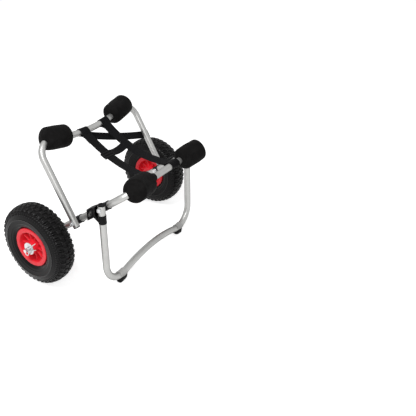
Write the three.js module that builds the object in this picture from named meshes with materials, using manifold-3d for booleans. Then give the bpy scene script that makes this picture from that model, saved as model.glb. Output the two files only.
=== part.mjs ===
// Kayak cart: two bent tube arches hinged on each other, a fold-down kickstand, two pneumatic wheels
// Millimetres, +Z up, X along the wheels' axle, the kickstand towards -Y
import * as THREE from "three";
import { mergeVertices } from "three/addons/utils/BufferGeometryUtils.js";
import Module from "manifold-3d";

const wasm = await Module();
wasm.setup();

const degree = Math.PI / 180;
const sides = [["left", -1], ["right", 1]];

// Fits shared by all pieces
const seatGap = 0.3;
const looseGap = 1;
const cutOverrun = 5;
const flatness = 0.02;

// Tube frame
const tubeDiameter = 22;
const tubeWall = 1.6;
const bendRadius = 50;
const tubeFacets = 12;
const boreFacets = 8;
const holeFacets = 8;
const ringFacets = 12;
const wheelFacets = 24;

// Wheels
const wheelDiameter = 267;
const wheelToLeg = 52.5;
const tyreWidth = 82;
const beadDiameter = 116;
const tyreWall = 5;
const treadLugs = 24;
const treadDepth = 4.5;
const lugWidth = 10;
const rimFlangeDiameter = 131;
const rimWidth = 66;
const rimWall = 4;
const rimWellDiameter = 96;
const rimWellWidth = 22;
const rimSeatWidth = 10;
const rimSeatFall = 0.5;
const rimWebFromMiddle = 9;
const rimRibs = 10;
const rimRibThickness = 3.5;
const rimRibSetBack = 9;
const rimLip = 3;
const rimFaceWidth = 15;
const hubDiameter = 46;
const hubLength = 76;
const bushWall = 3;
const bushClearance = 0.1;
const innerTubeWall = 2.5;
const valveStemDiameter = 6.5;
const valveCapDiameter = 9;
const valveCapLength = 12;
const valveFlangeDiameter = 16;
const valveFlangeThickness = 2;
const valveToHub = 6;
const valveTurn = 176 * degree;

// Front arch, which carries the axle pins, measured up its legs from the axle
const frontLean = 50.2 * degree;
const frontHalfWidth = 210.5;
const frontReach = 357;
const frontDip = 40;
const frontTail = 18;

// Rear arch, measured up its legs from the fold bolts, its legs outside the front ones
const foldBelowBlock = 67;
const rearLean = 34 * degree;
const rearLegStep = 26.5;
const rearReach = 278;
const rearDip = 36;
const rearTail = 15;

// Kickstand, measured down its legs from its pivot bolts, its legs outside the front ones
const kickBelowReach = 105;
const kickLean = 5 * degree;
const kickLegStep = 25;
const kickBow = 50;
const kickBendRadius = 68;
const kickTail = 11;

// Axle pins, washers and hairpin clips
const axleDiameter = 12;
const axleEndPast = 17;
const axleNutWidth = 19;
const axleNutThickness = 9;
const axleWasherDiameter = 40;
const axleWasherThickness = 2.5;
const spacerWall = 3;
const clipWire = 3;
const clipLoopWidth = 13;
const clipReach = 42;
const clipBack = 20;
const clipFlareReach = 24;
const clipFlare = 17.5;
const clipFromEnd = 8;
const clipTurn = 42 * degree;

// Bolts of the two hinges
const boltDiameter = 8;
const boltHeadDiameter = 15;
const boltHeadThickness = 4;
const nutWidth = 13;
const nutThickness = 6;
const washerDiameter = 17;
const washerThickness = 1.5;

// Plastic saddles, clips, yokes, end caps and feet
const saddleWall = 2.2;
const foldSaddleLength = 20;
const kickSaddleLength = 20;
const saddleBossDiameter = 18;
const blockBelowKick = 74;
const clipBlockWall = 2.6;
const clipBlockRise = 18;
const clipBlockAhead = 26;
const clipBlockBehind = 24;
const clipBlockSlant = 22;
const clipWindowShare = 0.62;
const rivetDiameter = 7;
const rivetHeight = 1.6;
const rivetStemDiameter = 4;
const yokeFrom = 19;
const yokeLength = 28;
const yokeWall = 1.4;
const yokeWebThickness = 6;
const yokeReach = 43;
const yokeHookTop = 4;
const yokeHookLength = 20;
const yokeArmWidth = 16;
const capFlange = 2.5;
const capPlugDepth = 5;
const footLength = 32;
const footWall = 3;
const footChamfer = 4;
const footHeight = 26.8;
const footBandWall = 3;

// Foam pads
const padDiameter = 75;
const padLength = 111;
const padFacets = 12;
const padCrown = 2;
const padRise = 3;
const padEndRound = 17;
const rearPadInset = 23;
const frontPadInset = 14;

// Webbing straps
const webWidth = 38;
const webThickness = 2;
const leftStrapRearShare = 0.4;
const rightStrapRearShare = 0.62;
const leftStrapToPad = 1.5;
const rightStrapToPad = 2.5;
const leftStrapSag = 22;
const rightStrapSag = 34;
const bandWidth = 28;
const bandDrop = 15;
const bandLegDistance = 138;
const bandSag = 6;
const buckleLength = 26;
const buckleWall = 4;
const buckleThickness = 7;
const buckleGap = 0.9;
const buckleAtShare = 0.4;
const tailWidth = 30;
const tailSag = 5;
const tailAtShare = 0.34;

// Sizes that follow
const tubeRadius = tubeDiameter / 2;
const axleHeight = wheelDiameter / 2;
const axleRadius = axleDiameter / 2;
const boltRadius = boltDiameter / 2;
const sleeveRadius = tubeRadius + seatGap + saddleWall;
const frontOuterSide = frontHalfWidth + tubeRadius;
const hubInnerFace = frontOuterSide + wheelToLeg;
const wheelTrackHalf = hubInnerFace + hubLength / 2;
const hubOuterFace = wheelTrackHalf + hubLength / 2;
const rearHalfWidth = frontHalfWidth + rearLegStep;
const kickHalfWidth = frontHalfWidth + kickLegStep;
const kickDistance = frontReach - kickBelowReach;
const clipBlockAt = kickDistance - blockBelowKick;
const foldDistance = clipBlockAt - foldBelowBlock;
const washerOuterFace = hubOuterFace + seatGap + axleWasherThickness;
const axleEnd = washerOuterFace + axleEndPast;
const bushRadius = axleRadius + bushWall;
const hubRadius = hubDiameter / 2;
const rimHalf = rimWidth / 2;
const flangeRadius = rimFlangeDiameter / 2;
const seatRadius = beadDiameter / 2;
const frontBar = barCircle(frontHalfWidth, frontReach, frontDip);
const rearBar = barCircle(rearHalfWidth, rearReach, rearDip);
const frontPadEnd = frontHalfWidth - frontPadInset - padLength;
const rearPadEnd = rearHalfWidth - rearPadInset - padLength;

// The kickstand reaches down until its feet, under the lowest part of its bends, stand on the ground
const footX = kickHalfWidth - kickBendRadius;
const kickPivotHeight = axleHeight + kickDistance * Math.cos(frontLean);
const footDrop = (kickPivotHeight - footHeight) / Math.cos(kickLean);
const kickReach = footDrop - bendPlace(kickHalfWidth, 0, kickBow, kickBendRadius).top;

const colours = {
  aluminium: { color: 0xcfd0ce, roughness: 0.35, metalness: 0.85 },
  steel: { color: 0xbfc2c4, roughness: 0.3, metalness: 0.9 },
  foam: { color: 0x232324, roughness: 0.95, metalness: 0 },
  rubber: { color: 0x27282a, roughness: 0.85, metalness: 0 },
  plastic: { color: 0x161617, roughness: 0.55, metalness: 0 },
  rim: { color: 0xd8263c, roughness: 0.45, metalness: 0 },
  nylon: { color: 0xe6e4dc, roughness: 0.5, metalness: 0 },
  webbing: { color: 0x1b1b1d, roughness: 0.9, metalness: 0 },
};

// Solids: a closed three.js geometry to and from a manifold
function solidOf(geometry) {
  const bare = geometry.clone();
  bare.deleteAttribute("normal");
  bare.deleteAttribute("uv");
  const merged = mergeVertices(bare, 1e-4);
  const vertProperties = new Float32Array(merged.attributes.position.array);
  const triVerts = new Uint32Array(merged.index.array);
  return new wasm.Manifold(new wasm.Mesh({ numProp: 3, vertProperties, triVerts }));
}

function geometryOf(solid) {
  const mesh = solid.asOriginal().simplify(flatness).getMesh();
  const geometry = new THREE.BufferGeometry();
  const positions = new Float32Array(mesh.vertProperties);
  geometry.setAttribute("position", new THREE.BufferAttribute(positions, 3));
  geometry.setIndex(new THREE.BufferAttribute(new Uint32Array(mesh.triVerts), 1));
  geometry.computeVertexNormals();
  return geometry;
}

function joined(parts) {
  return parts.map(solidOf).reduce((whole, part) => whole.add(part));
}

// A round bar or a prism along X from one place to another
function barAlongX(radius, from, to, facets = 16) {
  const geometry = new THREE.CylinderGeometry(radius, radius, to - from, facets);
  return geometry.rotateZ(-Math.PI / 2).translate((from + to) / 2, 0, 0);
}

// The same along Z
function barAlongZ(radius, from, to, facets = tubeFacets) {
  const geometry = new THREE.CylinderGeometry(radius, radius, to - from, facets);
  return geometry.rotateX(Math.PI / 2).translate(0, 0, (from + to) / 2);
}

function box(lengthX, lengthY, lengthZ, x = 0, y = 0, z = 0) {
  return new THREE.BoxGeometry(lengthX, lengthY, lengthZ).translate(x, y, z);
}

// A ring along X between two radii
function ringAlongX(outerRadius, innerRadius, from, to, facets = ringFacets) {
  const profile = [
    new THREE.Vector2(innerRadius, from),
    new THREE.Vector2(outerRadius, from),
    new THREE.Vector2(outerRadius, to),
    new THREE.Vector2(innerRadius, to),
    new THREE.Vector2(innerRadius, from),
  ];
  return new THREE.LatheGeometry(profile, facets).rotateZ(-Math.PI / 2);
}

// The radius that a faceted bore needs to clear a round bar
function boreFor(radius, gap, facets) {
  return (radius + gap) / Math.cos(Math.PI / facets);
}

// An outline in the YZ plane, drawn out along X to both sides of it
function drawnAlongX(shape, length, steps = 1) {
  const geometry = new THREE.ExtrudeGeometry(shape, { depth: length, bevelEnabled: false, steps });
  geometry.translate(0, 0, -length / 2);
  const turn = new THREE.Matrix4().set(0, 0, 1, 0, 1, 0, 0, 0, 0, 1, 0, 0, 0, 0, 0, 1);
  return geometry.applyMatrix4(turn);
}

// A path that passes its own stations, so bends take more of them than straight runs
class StationPath extends THREE.Curve {
  constructor(stations) {
    super();
    this.stations = stations;
  }

  getPoint(share, target = new THREE.Vector3()) {
    const last = this.stations.length - 1;
    const place = Math.min(Math.max(share, 0), 1) * last;
    const index = Math.min(Math.floor(place), last - 1);
    return target.copy(this.stations[index]).lerp(this.stations[index + 1], place - index);
  }

  getPointAt(share, target) {
    return this.getPoint(share, target);
  }

  getTangentAt(share, target = new THREE.Vector3()) {
    const last = this.stations.length - 1;
    const index = Math.round(share * last);
    const before = this.stations[Math.max(index - 1, 0)];
    const after = this.stations[Math.min(index + 1, last)];
    return target.copy(after).sub(before).normalize();
  }
}

function circleShape(radius, facets, ShapeKind = THREE.Shape) {
  const shape = new ShapeKind();
  for (let i = 0; i < facets; i += 1) {
    const angle = (i / facets) * 2 * Math.PI;
    const point = [radius * Math.cos(angle), radius * Math.sin(angle)];
    if (i === 0) shape.moveTo(...point);
    else shape.lineTo(...point);
  }
  shape.closePath();
  return shape;
}

function sweptTube(stations, radius, innerRadius = 0, facets = tubeFacets) {
  const section = circleShape(radius, facets);
  if (innerRadius > 0) section.holes.push(circleShape(innerRadius, boreFacets, THREE.Path));
  return new THREE.ExtrudeGeometry(section, {
    steps: stations.length - 1,
    extrudePath: new StationPath(stations),
  });
}

// The circle that a top bar follows: it dips to the middle between its two corners
function barCircle(halfWidth, reach, dip) {
  const radius = (halfWidth * halfWidth + dip * dip) / (2 * dip);
  return { radius, centre: reach - dip + radius };
}

function barHeight(circle, x) {
  return circle.centre - Math.sqrt(circle.radius * circle.radius - x * x);
}

// The middle of a bend that is tangent to the leg and the bar
function bendPlace(halfWidth, reach, dip, radius) {
  const circle = barCircle(halfWidth, reach, dip);
  const x = halfWidth - radius;
  const far = circle.radius + radius;
  const z = circle.centre - Math.sqrt(far * far - x * x);
  return { circle, far, x, z, top: z + radius };
}

// Half an arch: a straight leg, a bend tangent to leg and bar, and half of the dipped bar
function archStations(halfWidth, tail, reach, dip, radius = bendRadius) {
  const { circle, far, x: bendX, z: bendZ } = bendPlace(halfWidth, reach, dip, radius);
  const turn = Math.PI / 2 + Math.asin(bendX / far);
  const bendSteps = 5;
  const barSteps = 5;
  const half = [new THREE.Vector3(-halfWidth, 0, -tail)];
  for (let i = 0; i <= bendSteps; i += 1) {
    const angle = Math.PI - (i / bendSteps) * turn;
    const x = -bendX + radius * Math.cos(angle);
    half.push(new THREE.Vector3(x, 0, bendZ + radius * Math.sin(angle)));
  }
  const barX = (bendX * circle.radius) / far;
  for (let i = 1; i < barSteps; i += 1) {
    const x = -barX * (1 - i / barSteps);
    half.push(new THREE.Vector3(x, 0, barHeight(circle, x)));
  }
  const middle = new THREE.Vector3(0, 0, barHeight(circle, 0));
  const mirrored = half.map((point) => new THREE.Vector3(-point.x, 0, point.z)).reverse();
  return [...half, middle, ...mirrored];
}

function archTube(stations, crossHoles) {
  let tube = solidOf(sweptTube(stations, tubeRadius, tubeRadius - tubeWall));
  const reach = Math.max(...stations.map((point) => point.x)) + tubeDiameter;
  for (const hole of crossHoles) {
    const cutter = barAlongX(hole.radius, -reach, reach, holeFacets).translate(0, 0, hole.z);
    tube = tube.subtract(solidOf(cutter));
  }
  return geometryOf(tube);
}

// A black plug that closes a tube's open end, its rim outside
function endCap(x, z, direction) {
  const plugRadius = (tubeRadius - tubeWall) * Math.cos(Math.PI / boreFacets) - seatGap;
  const flangeFrom = seatGap;
  const flange = barAlongZ(tubeRadius, flangeFrom, capFlange + flangeFrom);
  const plug = barAlongZ(plugRadius, -capPlugDepth, capFlange, boreFacets);
  const cap = geometryOf(joined([flange, plug]));
  if (direction < 0) cap.rotateX(Math.PI);
  return cap.translate(x, 0, z);
}

// A moulded sleeve on a tube, its boss reaching out to the tube that turns beside it
function tubeSaddle(side, length, tubeX, neighbourX) {
  const sleeve = barAlongZ(sleeveRadius, -length / 2, length / 2);
  const bossFrom = side * tubeX;
  const bossTo = side * (neighbourX - tubeRadius - washerThickness / 2);
  const low = Math.min(bossFrom, bossTo);
  const high = Math.max(bossFrom, bossTo);
  const boss = barAlongX(saddleBossDiameter / 2, low, high, ringFacets);
  const bore = barAlongZ(boreFor(tubeRadius, seatGap, tubeFacets), -length, length);
  const reach = neighbourX + tubeDiameter;
  const hole = barAlongX(boreFor(boltRadius, seatGap, holeFacets), -reach, reach, holeFacets);
  const moved = joined([sleeve.translate(side * tubeX, 0, 0), boss]);
  const cut = moved.subtract(solidOf(bore.translate(side * tubeX, 0, 0))).subtract(solidOf(hole));
  return geometryOf(cut);
}

// A pivot bolt from outside the outer tube to the nut inside the inner one
function pivotBolt(side, outerX, innerX) {
  const headFrom = outerX + tubeRadius + washerThickness + seatGap;
  const tip = innerX - sleeveRadius - washerThickness - nutThickness - 2 * seatGap - looseGap;
  const head = barAlongX(boltHeadDiameter / 2, headFrom, headFrom + boltHeadThickness, 12);
  const shank = barAlongX(boltRadius, tip, headFrom + boltHeadThickness / 2, holeFacets);
  const washer = barAlongX(washerDiameter / 2, headFrom - washerThickness, headFrom, 12);
  const bolt = geometryOf(joined([head, shank, washer]));
  if (side < 0) bolt.rotateZ(Math.PI);
  return bolt;
}

function pivotNut(side, innerX) {
  const to = innerX - sleeveRadius - seatGap;
  const from = to - washerThickness - nutThickness;
  const nut = barAlongX(nutWidth / 2 / Math.cos(Math.PI / 6), from, to - washerThickness, 6);
  const washer = barAlongX(washerDiameter / 2, to - washerThickness, to, 12);
  const bore = boreFor(boltRadius, seatGap, holeFacets);
  const hole = barAlongX(bore, from - cutOverrun, to + cutOverrun, holeFacets);
  const solid = geometryOf(joined([nut, washer]).subtract(solidOf(hole)));
  if (side < 0) solid.rotateZ(Math.PI);
  return solid;
}

function addMesh(group, name, geometry, look) {
  const mesh = new THREE.Mesh(geometry, new THREE.MeshStandardMaterial(look));
  mesh.name = name;
  group.add(mesh);
}

// Groups: each arch lies in its own XZ plane, its Z up the legs
const cart = new THREE.Group();
const frontArch = new THREE.Group();
frontArch.position.z = axleHeight;
frontArch.rotation.x = frontLean;
const rearArch = new THREE.Group();
rearArch.position.z = foldDistance;
rearArch.rotation.x = -(frontLean + rearLean);
const kickstand = new THREE.Group();
kickstand.position.z = kickDistance;
kickstand.rotation.x = -(frontLean + kickLean);
frontArch.add(rearArch, kickstand);
cart.add(frontArch);

// Bent tubes
const frontStations = archStations(frontHalfWidth, frontTail, frontReach, frontDip);
const rearStations = archStations(rearHalfWidth, rearTail, rearReach, rearDip);
const kickStations = archStations(kickHalfWidth, kickTail, kickReach, kickBow, kickBendRadius);
kickStations.forEach((point) => point.setZ(-point.z));
const axleHole = { radius: boreFor(axleRadius, seatGap, holeFacets), z: 0 };
const pivotHole = (z) => ({ radius: boreFor(boltRadius, seatGap, holeFacets), z });
const rivetHole = { radius: boreFor(rivetStemDiameter / 2, seatGap, holeFacets), z: clipBlockAt };
const frontHoles = [axleHole, rivetHole, pivotHole(foldDistance), pivotHole(kickDistance)];
addMesh(frontArch, "front_arch_tube", archTube(frontStations, frontHoles), colours.aluminium);
addMesh(rearArch, "rear_arch_tube", archTube(rearStations, [pivotHole(0)]), colours.aluminium);
addMesh(kickstand, "kickstand_tube", archTube(kickStations, [pivotHole(0)]), colours.aluminium);

// End caps
for (const [name, side] of sides) {
  const frontCap = endCap(side * frontHalfWidth, -frontTail, -1);
  addMesh(frontArch, `front_leg_cap_${name}`, frontCap, colours.plastic);
  const rearCap = endCap(side * rearHalfWidth, -rearTail, -1);
  addMesh(rearArch, `rear_leg_cap_${name}`, rearCap, colours.plastic);
  const kickCap = endCap(side * kickHalfWidth, kickTail, 1);
  addMesh(kickstand, `kickstand_cap_${name}`, kickCap, colours.plastic);
}

// Fold pivots: the rear legs turn outside the front legs
for (const [name, side] of sides) {
  const saddle = tubeSaddle(side, foldSaddleLength, frontHalfWidth, rearHalfWidth);
  saddle.translate(0, 0, foldDistance);
  addMesh(frontArch, `fold_saddle_${name}`, saddle, colours.plastic);
  const bolt = pivotBolt(side, rearHalfWidth, frontHalfWidth).translate(0, 0, foldDistance);
  addMesh(frontArch, `fold_bolt_${name}`, bolt, colours.steel);
  const nut = pivotNut(side, frontHalfWidth).translate(0, 0, foldDistance);
  addMesh(frontArch, `fold_nut_${name}`, nut, colours.steel);
}

// Kickstand pivots, the same way
for (const [name, side] of sides) {
  const saddle = tubeSaddle(side, kickSaddleLength, frontHalfWidth, kickHalfWidth);
  saddle.translate(0, 0, kickDistance);
  addMesh(frontArch, `kickstand_saddle_${name}`, saddle, colours.plastic);
  const bolt = pivotBolt(side, kickHalfWidth, frontHalfWidth).translate(0, 0, kickDistance);
  addMesh(frontArch, `kickstand_bolt_${name}`, bolt, colours.steel);
  const nut = pivotNut(side, frontHalfWidth).translate(0, 0, kickDistance);
  addMesh(frontArch, `kickstand_nut_${name}`, nut, colours.steel);
}

// Stop blocks on the front legs, open towards the outside so that the tube and its rivet show
const blockSide = tubeDiameter + 2 * (seatGap + clipBlockWall);

// The block's outline beside the leg, scaled about its middle for the window
function blockOutline(share) {
  const low = -blockSide / 2;
  const top = clipBlockRise - clipBlockWall;
  const corners = [
    [low, -clipBlockBehind],
    [low, clipBlockAhead - clipBlockSlant],
    [top, clipBlockAhead],
    [clipBlockRise, clipBlockSlant - clipBlockBehind],
  ];
  const middle = (low + clipBlockRise) / 2;
  const scaled = corners.map(([y, z]) => new THREE.Vector2(middle + share * (y - middle), share * z));
  return new THREE.Shape(scaled);
}

function stopBlock(side) {
  const block = drawnAlongX(blockOutline(1), blockSide);
  const window = drawnAlongX(blockOutline(clipWindowShare), blockSide);
  window.translate((side * blockSide) / 2, 0, 0);
  const boreRadius = boreFor(tubeRadius, seatGap, tubeFacets);
  const bore = barAlongZ(boreRadius, -2 * clipBlockAhead, 2 * clipBlockAhead);
  const holeRadius = boreFor(rivetStemDiameter / 2, seatGap, holeFacets);
  const hole = barAlongX(holeRadius, -blockSide, blockSide, holeFacets);
  const solid = solidOf(block).subtract(joined([bore, window, hole]));
  return geometryOf(solid).translate(side * frontHalfWidth, 0, clipBlockAt);
}

// A rivet through the leg and the block's inner wall, its head in the window
function stopRivet(side) {
  const headFrom = tubeRadius + seatGap;
  const head = barAlongX(rivetDiameter / 2, headFrom, headFrom + rivetHeight, holeFacets);
  const stem = barAlongX(rivetStemDiameter / 2, -blockSide / 2, headFrom + rivetHeight / 2, holeFacets);
  const rivet = geometryOf(joined([head, stem]));
  if (side < 0) rivet.rotateZ(Math.PI);
  return rivet.translate(side * frontHalfWidth, 0, clipBlockAt);
}

for (const [name, side] of sides) {
  addMesh(frontArch, `stop_block_${name}`, stopBlock(side), colours.plastic);
  addMesh(frontArch, `stop_rivet_${name}`, stopRivet(side), colours.plastic);
}

// Yokes: a sleeve on the kickstand's leg with an arm beside the front leg that hooks over its top
const yokeTurn = frontLean + kickLean;
const yokeHold = tubeRadius + seatGap;

// A place beside the front leg, in the kickstand's own plane: down the leg and above its middle line
function besideFrontLeg(down, above) {
  const y = above * Math.cos(yokeTurn) + down * Math.sin(yokeTurn);
  const z = above * Math.sin(yokeTurn) - down * Math.cos(yokeTurn);
  return [y, z];
}

function kickYoke(side) {
  const sleeveTop = -yokeFrom;
  const sleeveBottom = -(yokeFrom + yokeLength);
  const outer = yokeHold + yokeWall;
  const sleeve = barAlongZ(outer, sleeveBottom, sleeveTop).translate(side * kickHalfWidth, 0, 0);
  const web = new THREE.Shape();
  web.moveTo(0, sleeveBottom);
  web.lineTo(yokeReach, sleeveBottom + yokeHookTop);
  web.lineTo(...besideFrontLeg(yokeReach, yokeHold + yokeHookTop));
  web.lineTo(...besideFrontLeg(yokeReach - yokeHookLength, yokeHold + yokeHookTop));
  web.lineTo(...besideFrontLeg(yokeReach - yokeHookTop, yokeHold / 2));
  web.lineTo(yokeReach - yokeHookTop, sleeveBottom + yokeArmWidth + yokeHookTop);
  web.lineTo(tubeRadius, sleeveBottom + yokeArmWidth);
  web.lineTo(0, sleeveTop);
  web.closePath();
  const webFrom = frontHalfWidth + blockSide / 2 + seatGap;
  const plate = drawnAlongX(web, yokeWebThickness);
  plate.translate(side * (webFrom + yokeWebThickness / 2), 0, 0);
  const boreRadius = boreFor(tubeRadius, seatGap, tubeFacets);
  const bore = barAlongZ(boreRadius, sleeveBottom - cutOverrun, sleeveTop + cutOverrun);
  const solid = joined([sleeve, plate]).subtract(solidOf(bore.translate(side * kickHalfWidth, 0, 0)));
  return geometryOf(solid);
}

for (const [name, side] of sides) {
  addMesh(kickstand, `kickstand_yoke_${name}`, kickYoke(side), colours.plastic);
}

// Feet: a rubber sole under each end of the kickstand's bar and a band over the tube that holds it
const kickCutter = solidOf(sweptTube(kickStations, tubeRadius + seatGap));
const footHalfWidth = tubeRadius + seatGap + footWall;

// The space above the middle of the tube at a foot
function aboveFoot(side, gap) {
  const space = box(2 * footLength, 2 * tubeDiameter, 2 * tubeDiameter, 0, 0, tubeDiameter + gap);
  return solidOf(space.translate(side * footX, 0, -footDrop));
}

function footSole(side) {
  const outline = new THREE.Shape();
  outline.moveTo(-footHalfWidth, tubeRadius);
  outline.lineTo(-footHalfWidth, footChamfer - footHeight);
  outline.lineTo(footChamfer - footHalfWidth, -footHeight);
  outline.lineTo(footHalfWidth - footChamfer, -footHeight);
  outline.lineTo(footHalfWidth, footChamfer - footHeight);
  outline.lineTo(footHalfWidth, tubeRadius);
  outline.closePath();
  const block = drawnAlongX(outline, footLength).rotateX(kickLean).translate(side * footX, 0, -footDrop);
  return geometryOf(solidOf(block).subtract(aboveFoot(side, -seatGap / 2)).subtract(kickCutter));
}

function footBand(side) {
  const shell = solidOf(sweptTube(kickStations, tubeRadius + seatGap + footBandWall));
  const length = box(footLength, 2 * tubeDiameter, 2 * tubeDiameter, side * footX, 0, -footDrop);
  const upper = shell.intersect(solidOf(length)).intersect(aboveFoot(side, seatGap / 2));
  return geometryOf(upper.subtract(kickCutter));
}

for (const [name, side] of sides) {
  addMesh(kickstand, `kickstand_foot_${name}`, footSole(side), colours.rubber);
  addMesh(kickstand, `kickstand_foot_band_${name}`, footBand(side), colours.aluminium);
}

// Foam pads: barrel shaped, bent along the bar, cut by the tube that bends away inside
function padProfile() {
  const half = padLength / 2;
  const radius = padDiameter / 2;
  const points = [new THREE.Vector2(0, -half)];
  const roundSteps = 3;
  for (let i = 0; i <= roundSteps; i += 1) {
    const angle = (i / roundSteps) * (Math.PI / 2);
    const x = radius - padCrown - padEndRound * (1 - Math.sin(angle));
    points.push(new THREE.Vector2(x, -half + padEndRound * (1 - Math.cos(angle))));
  }
  points.push(new THREE.Vector2(radius, 0));
  const mirrored = points.slice(0, -1).map((point) => new THREE.Vector2(point.x, -point.y));
  return [...points, ...mirrored.reverse()];
}

function pad(side, circle, halfWidth, inset, cutter) {
  const geometry = new THREE.LatheGeometry(padProfile(), padFacets);
  const middle = Math.asin((side * (halfWidth - inset - padLength / 2)) / circle.radius);
  const position = geometry.attributes.position;
  for (let i = 0; i < position.count; i += 1) {
    const angle = middle + position.getY(i) / circle.radius;
    const radius = circle.radius - padRise - position.getX(i);
    const x = radius * Math.sin(angle);
    const z = circle.centre - radius * Math.cos(angle);
    position.setXYZ(i, x, position.getZ(i), z);
  }
  return geometryOf(solidOf(geometry).subtract(cutter));
}

const frontCutter = solidOf(sweptTube(frontStations, tubeRadius + seatGap));
const rearCutter = solidOf(sweptTube(rearStations, tubeRadius + seatGap));
for (const [name, side] of sides) {
  const frontPad = pad(side, frontBar, frontHalfWidth, frontPadInset, frontCutter);
  addMesh(frontArch, `front_pad_${name}`, frontPad, colours.foam);
  const rearPad = pad(side, rearBar, rearHalfWidth, rearPadInset, rearCutter);
  addMesh(rearArch, `rear_pad_${name}`, rearPad, colours.foam);
}

// Wheels and what holds them: each side is built with its outer side towards +X
function sideGroup(side, x) {
  const group = new THREE.Group();
  group.position.set(x, 0, axleHeight);
  if (side < 0) group.rotation.z = Math.PI;
  cart.add(group);
  return group;
}

// A section whose outer line runs from its +X end to its -X end
function latheAlongX(points, facets) {
  const profile = points.map(([x, radius]) => new THREE.Vector2(radius, x)).reverse();
  profile.push(profile[0].clone());
  return new THREE.LatheGeometry(profile, facets).rotateZ(-Math.PI / 2);
}

function mirroredLine(points) {
  return points.map(([x, radius]) => [-x, radius]).reverse();
}

// Half of the tyre's outer line, from above the bead to the crown: shares of its half width and rise
const tyreLineShares = [[0.82, 0.2], [0.95, 0.58], [0.34, 1]];
const tyreHalf = tyreWidth / 2;
const beadHalf = rimHalf - rimLip - seatGap;
const carcassRise = wheelDiameter / 2 - treadDepth - seatRadius;
const lugLineShares = [[0.06, 1 + treadDepth / carcassRise], [0.82, 0.985], [1, 0.72]];

function tyrePoint([widthShare, riseShare]) {
  return [widthShare * tyreHalf, seatRadius + riseShare * carcassRise];
}

// The line of the tyre's wall moved inwards by a depth
function tyreLine(depth) {
  const line = [[beadHalf, flangeRadius + seatGap], ...tyreLineShares.map(tyrePoint)];
  return line.map(([x, radius], index) => {
    const [beforeX, beforeRadius] = line[Math.max(index - 1, 0)];
    const crown = [-x, radius];
    const [afterX, afterRadius] = index + 1 < line.length ? line[index + 1] : crown;
    const stepX = index === 0 ? 0 : afterX - beforeX;
    const stepRadius = afterRadius - beforeRadius;
    const length = Math.hypot(stepX, stepRadius);
    return [x - (depth * stepRadius) / length, radius + (depth * stepX) / length];
  });
}

function tyreLug() {
  const top = lugLineShares.map(tyrePoint);
  const last = top[top.length - 1];
  const crown = tyreLine(tyreWall / 2).pop();
  const outline = [...top, [last[0] - 2 * treadDepth, last[1]], crown, [top[0][0], crown[1]]];
  const shape = new THREE.Shape(outline.map(([x, y]) => new THREE.Vector2(x, y)));
  const options = { depth: lugWidth, bevelEnabled: false, steps: 1 };
  return new THREE.ExtrudeGeometry(shape, options).translate(0, 0, -lugWidth / 2);
}

function tyre() {
  const outer = [[beadHalf, seatRadius + seatGap], ...tyreLine(0)];
  const inner = [[beadHalf - tyreWall, seatRadius + seatGap], ...tyreLine(tyreWall)];
  const section = [...outer, ...mirroredLine(outer), ...mirroredLine(inner).reverse(), ...inner.reverse()];
  const step = (2 * Math.PI) / treadLugs;
  const lug = tyreLug();
  const mirrored = lug.clone().rotateY(Math.PI);
  const lugs = [];
  for (let i = 0; i < treadLugs; i += 1) {
    lugs.push(lug.clone().rotateX((i + 1 / 4) * step), mirrored.clone().rotateX((i + 3 / 4) * step));
  }
  return geometryOf(joined([latheAlongX(section, wheelFacets), ...lugs]));
}

// The inner tube fills the tyre down to the rim, and its valve passes through the floor
const tubeFloor = seatRadius + 2 * seatGap;

function innerTube() {
  const outer = tyreLine(tyreWall + seatGap);
  outer.unshift([outer[0][0], tubeFloor]);
  const inner = tyreLine(tyreWall + seatGap + innerTubeWall);
  inner.unshift([inner[0][0], tubeFloor + innerTubeWall]);
  const skin = solidOf(latheAlongX([...outer, ...mirroredLine(outer)], wheelFacets));
  const hollow = solidOf(latheAlongX([...inner, ...mirroredLine(inner)], wheelFacets / 2));
  return geometryOf(skin.subtract(hollow).subtract(valveHole()));
}

function valveHole() {
  const bore = boreFor(valveStemDiameter / 2, seatGap, holeFacets);
  return solidOf(barAlongZ(bore, hubRadius, flangeRadius, holeFacets).rotateX(valveTurn));
}

function valve() {
  const tip = hubRadius + valveToHub;
  const flangeFrom = tubeFloor + innerTubeWall + seatGap;
  const flangeTo = flangeFrom + valveFlangeThickness;
  const cap = barAlongZ(valveCapDiameter / 2, tip, tip + valveCapLength, 10);
  const stem = barAlongZ(valveStemDiameter / 2, tip, flangeTo, holeFacets);
  const flange = barAlongZ(valveFlangeDiameter / 2, flangeFrom, flangeTo, 12);
  return geometryOf(joined([cap, stem, flange])).rotateX(valveTurn);
}

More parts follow.
